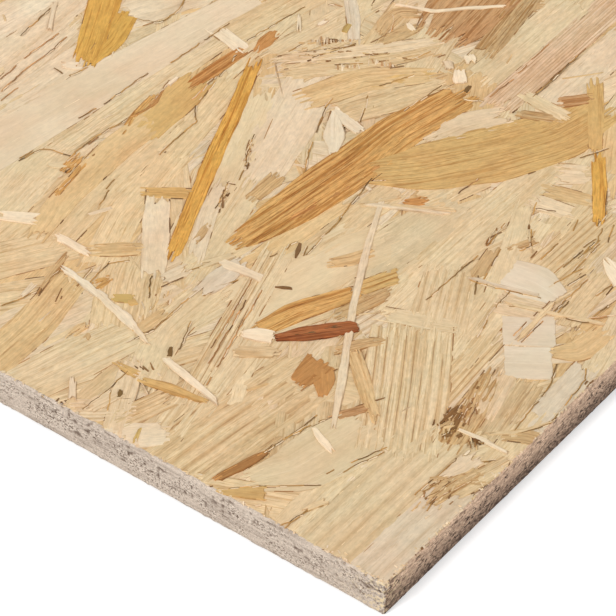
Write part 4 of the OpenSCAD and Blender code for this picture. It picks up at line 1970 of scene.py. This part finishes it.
        # Painted shade: the wood is darkened in patches along the strand's outline
        nearest = shader.sums("MINIMUM", to_side, to_end)
        ragged = shader.times(shader.noise(grain, (90.0, 900.0, 1.0), 2.0), self.edge * 2.0)
        rim = shader.step(nearest, 0.0, ragged, 1.0, 0.0)
        patchy = shader.step(shader.noise(grain, (60.0, 60.0, 1.0), 1.0), 0.46, 0.62, 0.0, 0.5)
        dark = shader.tint(wood, self.EDGE_SHADE)
        wood = shader.mix(shader.times(rim, patchy), wood, dark)

        shader.coat(wood, shader.step(fibre, 0.2, 0.8, 0.78, 0.58), self.gloss)
        relief = shader.blend(lines, 1.2, shader.blend(dash, 0.8, fibre))
        relief = shader.sums("SUBTRACT", relief, shader.times(ring, 0.8))
        relief = shader.times(relief, shader.step(figure, -0.3, 0.15, 0.15, 1.0))
        shader.bump(relief, 0.8)
        return shader.material


@dataclass(frozen=True)
class SawnFinish:
    """Sawn strand ends and flanks, with open pores, painted shade in the pits and painted shade towards the
    foot.

    Attributes:
        name: The material's name.
        base: The colour of the sawn wood, in sRGB.
        light: The colour of its bright fibres.
        dark: The colour in its pores, also used as painted shade in the pits and at the foot.
        grain: Repeats of the fibres in a metre along X, Y and Z.
        foot_shade: How much painted shade darkens the foot of the side.
    """

    name: str
    base: Colour
    light: Colour
    dark: Colour
    grain: Triple
    foot_shade: float

    CRUMB = (236, 212, 168)

    def pale(self) -> tuple[float, float, float, float]:
        """Returns the colour of the crumbs at the near corner."""
        return (*linear_light(self.CRUMB), 1.0)

    def material(self) -> bpy.types.Material:
        """Builds the shader from the place on the side and its pores.

        Returns:
            The material of a sawn side.
        """
        shader = Shader(self.name)
        place = shader.place()
        base, light, dark = ((*linear_light(tone), 1.0) for tone in (self.base, self.light, self.dark))
        height = shader.axes(place)[2]
        rise = shader.step(height, 1.0 * MM, 6.0 * MM, 0.62, 1.0)
        band = shader.times(rise, shader.step(height, 13.5 * MM, 16.5 * MM, 1.0, 0.4))
        fibre = shader.noise(place, self.grain, 2.0, 0.65)
        layer = shader.noise(place, (70.0, 70.0, 750.0), 2.0)
        fleck = shader.noise(place, tuple(item * 0.55 for item in self.grain), 2.0, 0.7)
        glint = shader.noise(place, tuple(item * 0.61 for item in self.grain), 1.0)
        patch = shader.noise(place, (120.0, 120.0, 170.0), 1.0)
        cluster = shader.times(band, shader.step(patch, 0.36, 0.6, 0.3, 1.0))
        wood = shader.mix(shader.step(fibre, 0.42, 0.62, 0.0, 0.7), base, light)
        wood = shader.mix(shader.step(layer, 0.42, 0.72, 0.0, 0.35), wood, dark)
        shine = shader.times(shader.step(glint, 0.58, 0.64, 0.0, 0.9), cluster)
        wood = shader.mix(shine, wood, light)
        speck = shader.times(shader.step(fleck, 0.53, 0.6, 0.0, 0.95), cluster)
        wood = shader.mix(speck, wood, dark)
        near = shader.mark("frail", "Fac")
        crumb = shader.noise(place, (620.0, 620.0, 700.0), 2.0, 0.6)
        wood = shader.mix(shader.times(shader.step(crumb, 0.52, 0.6), near), wood, self.pale())
        wood = shader.mix(shader.times(shader.step(crumb, 0.46, 0.38, 0.0, 0.7), near), wood, dark)
        # Painted shade: the pits are darkened towards the pore colour
        pit = shader.mark("pit", "Fac")
        wood = shader.mix(shader.times(pit, 0.8), wood, dark)
        # Painted shade: the side is darkened towards its foot, more in some blotches than others
        foot = shader.step(height, 0.0, 16.5 * MM, self.foot_shade, 0.0)
        shade_blotch = shader.noise(place, (420.0, 420.0, 620.0), 2.0, 0.6)
        foot = shader.times(foot, shader.step(shade_blotch, 0.38, 0.62, 0.72, 1.25))
        foot_shaded = (*(np.array(dark[:3]) / np.array(base[:3])), 1.0)
        wood = shader.mix(foot, wood, shader.tint(wood, foot_shaded))
        shader.coat(wood, 0.85, 0.2)
        shader.bump(fleck, 0.6)
        return shader.material


@dataclass(frozen=True)
class CoreFinish:
    """The brown wood at the bottom of the pits.

    Attributes:
        light: The lighter colour, in sRGB.
        dark: The darker colour.
    """

    light: Colour = (188, 148, 102)
    dark: Colour = (128, 95, 61)

    def material(self) -> bpy.types.Material:
        """Builds the shader from the place in the core.

        Returns:
            The core's material.
        """
        shader = Shader("core_wood")
        light, dark = ((*linear_light(tone), 1.0) for tone in (self.light, self.dark))
        grain = shader.noise(shader.place(), (60.0, 900.0, 300.0), 3.0)
        shader.coat(shader.mix(grain, dark, light), 0.9, 0.5)
        shader.bump(grain, 0.5)
        return shader.material


@dataclass(frozen=True)
class Studio:
    """The camera, the floor and the soft light.

    Attributes:
        sheet: The sheet.
        azimuth: The way the camera looks from, in degrees.
        elevation: Its height above the horizon, in degrees.
        roll: Its lean, in degrees.
        distance: Its distance from the aim, in metres.
        aim: The point it looks at, in millimetres from the near corner, on the top face.
        lens: Focal length in millimetres on a 36 mm sensor.
        key_from: The way towards the main light.
        key: Strength of the main light.
        key_spread: Its width in degrees, which softens the shadows.
        side_from: The way towards the low light on the right.
        side: Strength of that light.
        side_spread: Its width in degrees.
        fill: Strength of the light from all round.
    """

    sheet: Sheet
    azimuth: float = -56.06
    elevation: float = 42.51
    roll: float = 3.3
    distance: float = 2.0
    aim: Spot = (109.8, 118.3)
    lens: float = 281.9
    key_from: Triple = (-0.84, 0.16, 0.8)
    key: float = 2.06
    key_spread: float = 14.0
    side_from: Triple = (0.35, -0.85, 0.35)
    side: float = 1.3
    side_spread: float = 50.0
    fill: float = 0.47

    FLOOR = 60.0
    FLOOR_GREY = 0.72
    FLOOR_GLOW = 0.42
    SENSOR = 36.0

    def build(self) -> None:
        """Sets up the camera, the light and the floor."""
        self.camera()
        self.light()
        self.floor()

    def camera(self) -> None:
        """Places the camera where the picture was taken from."""
        turn, rise, lean = (math.radians(item) for item in (self.azimuth, self.elevation, self.roll))
        back = Vector((math.sin(turn) * math.cos(rise), -math.cos(turn) * math.cos(rise), math.sin(rise)))
        right = Vector((math.cos(turn), math.sin(turn), 0.0))
        up = back.cross(right)
        level = right * math.cos(lean) + up * math.sin(lean)
        up = up * math.cos(lean) - right * math.sin(lean)
        low, high = self.sheet.low, self.sheet.high
        target = Vector((low.x + self.aim[0] * MM, low.y + self.aim[1] * MM, high.z))
        lens = bpy.data.cameras.new("picture_camera")
        lens.lens = self.lens
        lens.sensor_width = self.SENSOR
        lens.clip_start = 0.1
        lens.clip_end = 100.0
        camera = bpy.data.objects.new(lens.name, lens)
        axes = Matrix((level, up, back)).transposed().to_4x4()
        camera.matrix_world = Matrix.Translation(target + back * self.distance) @ axes
        bpy.context.scene.collection.objects.link(camera)
        bpy.context.scene.camera = camera

    def light(self) -> None:
        """Adds a soft light from the left, a low one from the right and light from all round."""
        scene = bpy.context.scene
        scene.view_settings.view_transform = "Standard"
        self.lamp("window_light", self.key_from, self.key, self.key_spread)
        self.lamp("side_light", self.side_from, self.side, self.side_spread)
        world = bpy.data.worlds.new("studio")
        world.use_nodes = True
        scene.world = world
        tree = world.node_tree
        sky = tree.nodes["Background"]
        sky.inputs["Color"].default_value = (1.0, 1.0, 1.0, 1.0)
        strength = tree.nodes.new("ShaderNodeMapRange")
        strength.inputs["To Min"].default_value = self.fill
        strength.inputs["To Max"].default_value = 1.0
        tree.links.new(self.seen(tree), strength.inputs["Value"])
        tree.links.new(strength.outputs[0], sky.inputs["Strength"])

    @staticmethod
    def lamp(name: str, way: Triple, energy: float, spread: float) -> None:
        """Adds a far light.

        Args:
            name: The light's name.
            way: The way towards it.
            energy: Its strength.
            spread: Its width in degrees, which softens the shadows.
        """
        lamp = bpy.data.lights.new(name, "SUN")
        lamp.energy = energy
        lamp.angle = math.radians(spread)
        light = bpy.data.objects.new(name, lamp)
        light.rotation_mode = "QUATERNION"
        light.rotation_quaternion = Vector(way).to_track_quat("Z", "Y")
        bpy.context.scene.collection.objects.link(light)

    def floor(self) -> None:
        """Lays the pale floor, which is white to the eye and keeps the soft shadow."""
        shape = bmesh.new()
        bmesh.ops.create_grid(shape, x_segments=1, y_segments=1, size=self.FLOOR)
        mesh = bpy.data.meshes.new("floor")
        shape.to_mesh(mesh)
        shape.free()
        shader = Shader("floor_white")
        shader.coat((*[self.FLOOR_GREY] * 3, 1.0), 0.95, 0.0)
        glow = shader.times(self.seen(shader.tree), self.FLOOR_GLOW)
        white = (1.0, 1.0, 1.0, 1.0)
        shader.feed(shader.surface, {"Emission Color": white, "Emission Strength": glow})
        mesh.materials.append(shader.material)
        floor = bpy.data.objects.new("floor", mesh)
        bpy.context.scene.collection.objects.link(floor)
        floor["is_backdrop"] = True

    @staticmethod
    def seen(tree: bpy.types.NodeTree) -> Socket:
        """Tells the rays that show the background from those that light the sheet.

        Args:
            tree: The nodes that are added to.

        Returns:
            1 for a ray that comes straight, mirrored or through glass, and 0 for any other.
        """
        path = tree.nodes.new("ShaderNodeLightPath")
        total = path.outputs["Is Camera Ray"]
        for name in ("Is Glossy Ray", "Is Transmission Ray"):
            node = tree.nodes.new("ShaderNodeMath")
            node.operation = "MAXIMUM"
            tree.links.new(total, node.inputs[0])
            tree.links.new(path.outputs[name], node.inputs[1])
            total = node.outputs[0]
        return total


def report(pieces: Iterable[bpy.types.Object]) -> None:
    """Logs each piece with its triangles.

    Args:
        pieces: The finished pieces.
    """
    for piece in pieces:
        triangles = sum(len(item.vertices) - 2 for item in piece.data.polygons)
        LOG.info("%s: %d triangles", piece.name, triangles)


def write_sizes() -> None:
    """Gathers the CAD box and the dressed sheet's box as plain lists."""
    boxes = {"cad": CAD_BOX, "visual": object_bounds()}
    plain = {name: [list(corner) for corner in box] for name, box in boxes.items()}


def main() -> None:
    """Builds the sheet's pieces and the studio in order, and reports each piece."""
    logging.basicConfig(level=logging.INFO, format="%(name)s: %(message)s")
    sheet = Sheet.from_frame()
    Studio(sheet).build()
    strand_wood = StrandFinish().material()
    end_wood = SawnFinish(
        "sawn_end_wood", base=(201, 183, 166), light=(231, 216, 199), dark=(102, 82, 68),
        grain=(2100.0, 1500.0, 2600.0), foot_shade=0.06,
    ).material()
    flank_wood = SawnFinish(
        "sawn_flank_wood", base=(196, 163, 137), light=(234, 203, 174), dark=(66, 47, 38),
        grain=(950.0, 2100.0, 1900.0), foot_shade=0.82,
    ).material()
    report([BoardCore(sheet).build(CoreFinish().material())])
    report(
        [
            SawnSide(sheet, Side.LEFT, seed=11, fine=380.0, rows=29, stretch=(1.7, 0.9)).build(end_wood),
            SawnSide(sheet, Side.FRONT, seed=12, fine=380.0, rows=29, stretch=(3.2, 0.8)).build(flank_wood),
            SawnSide(sheet, Side.RIGHT, seed=13, fine=0.0, rows=13, stretch=(8.0, 1.5)).build(end_wood),
            SawnSide(sheet, Side.BACK, seed=14, fine=0.0, rows=13, stretch=(8.0, 1.5)).build(flank_wood),
        ]
    )
    report(StrandFace(sheet, Face.TOP, strips=10, seed=21, cover=4.6, detail=True).build(strand_wood))
    report(StrandFace(sheet, Face.UNDER, strips=4, seed=22, cover=2.8, detail=False).build(strand_wood))
    write_sizes()


if __name__ == "__main__":
    main()
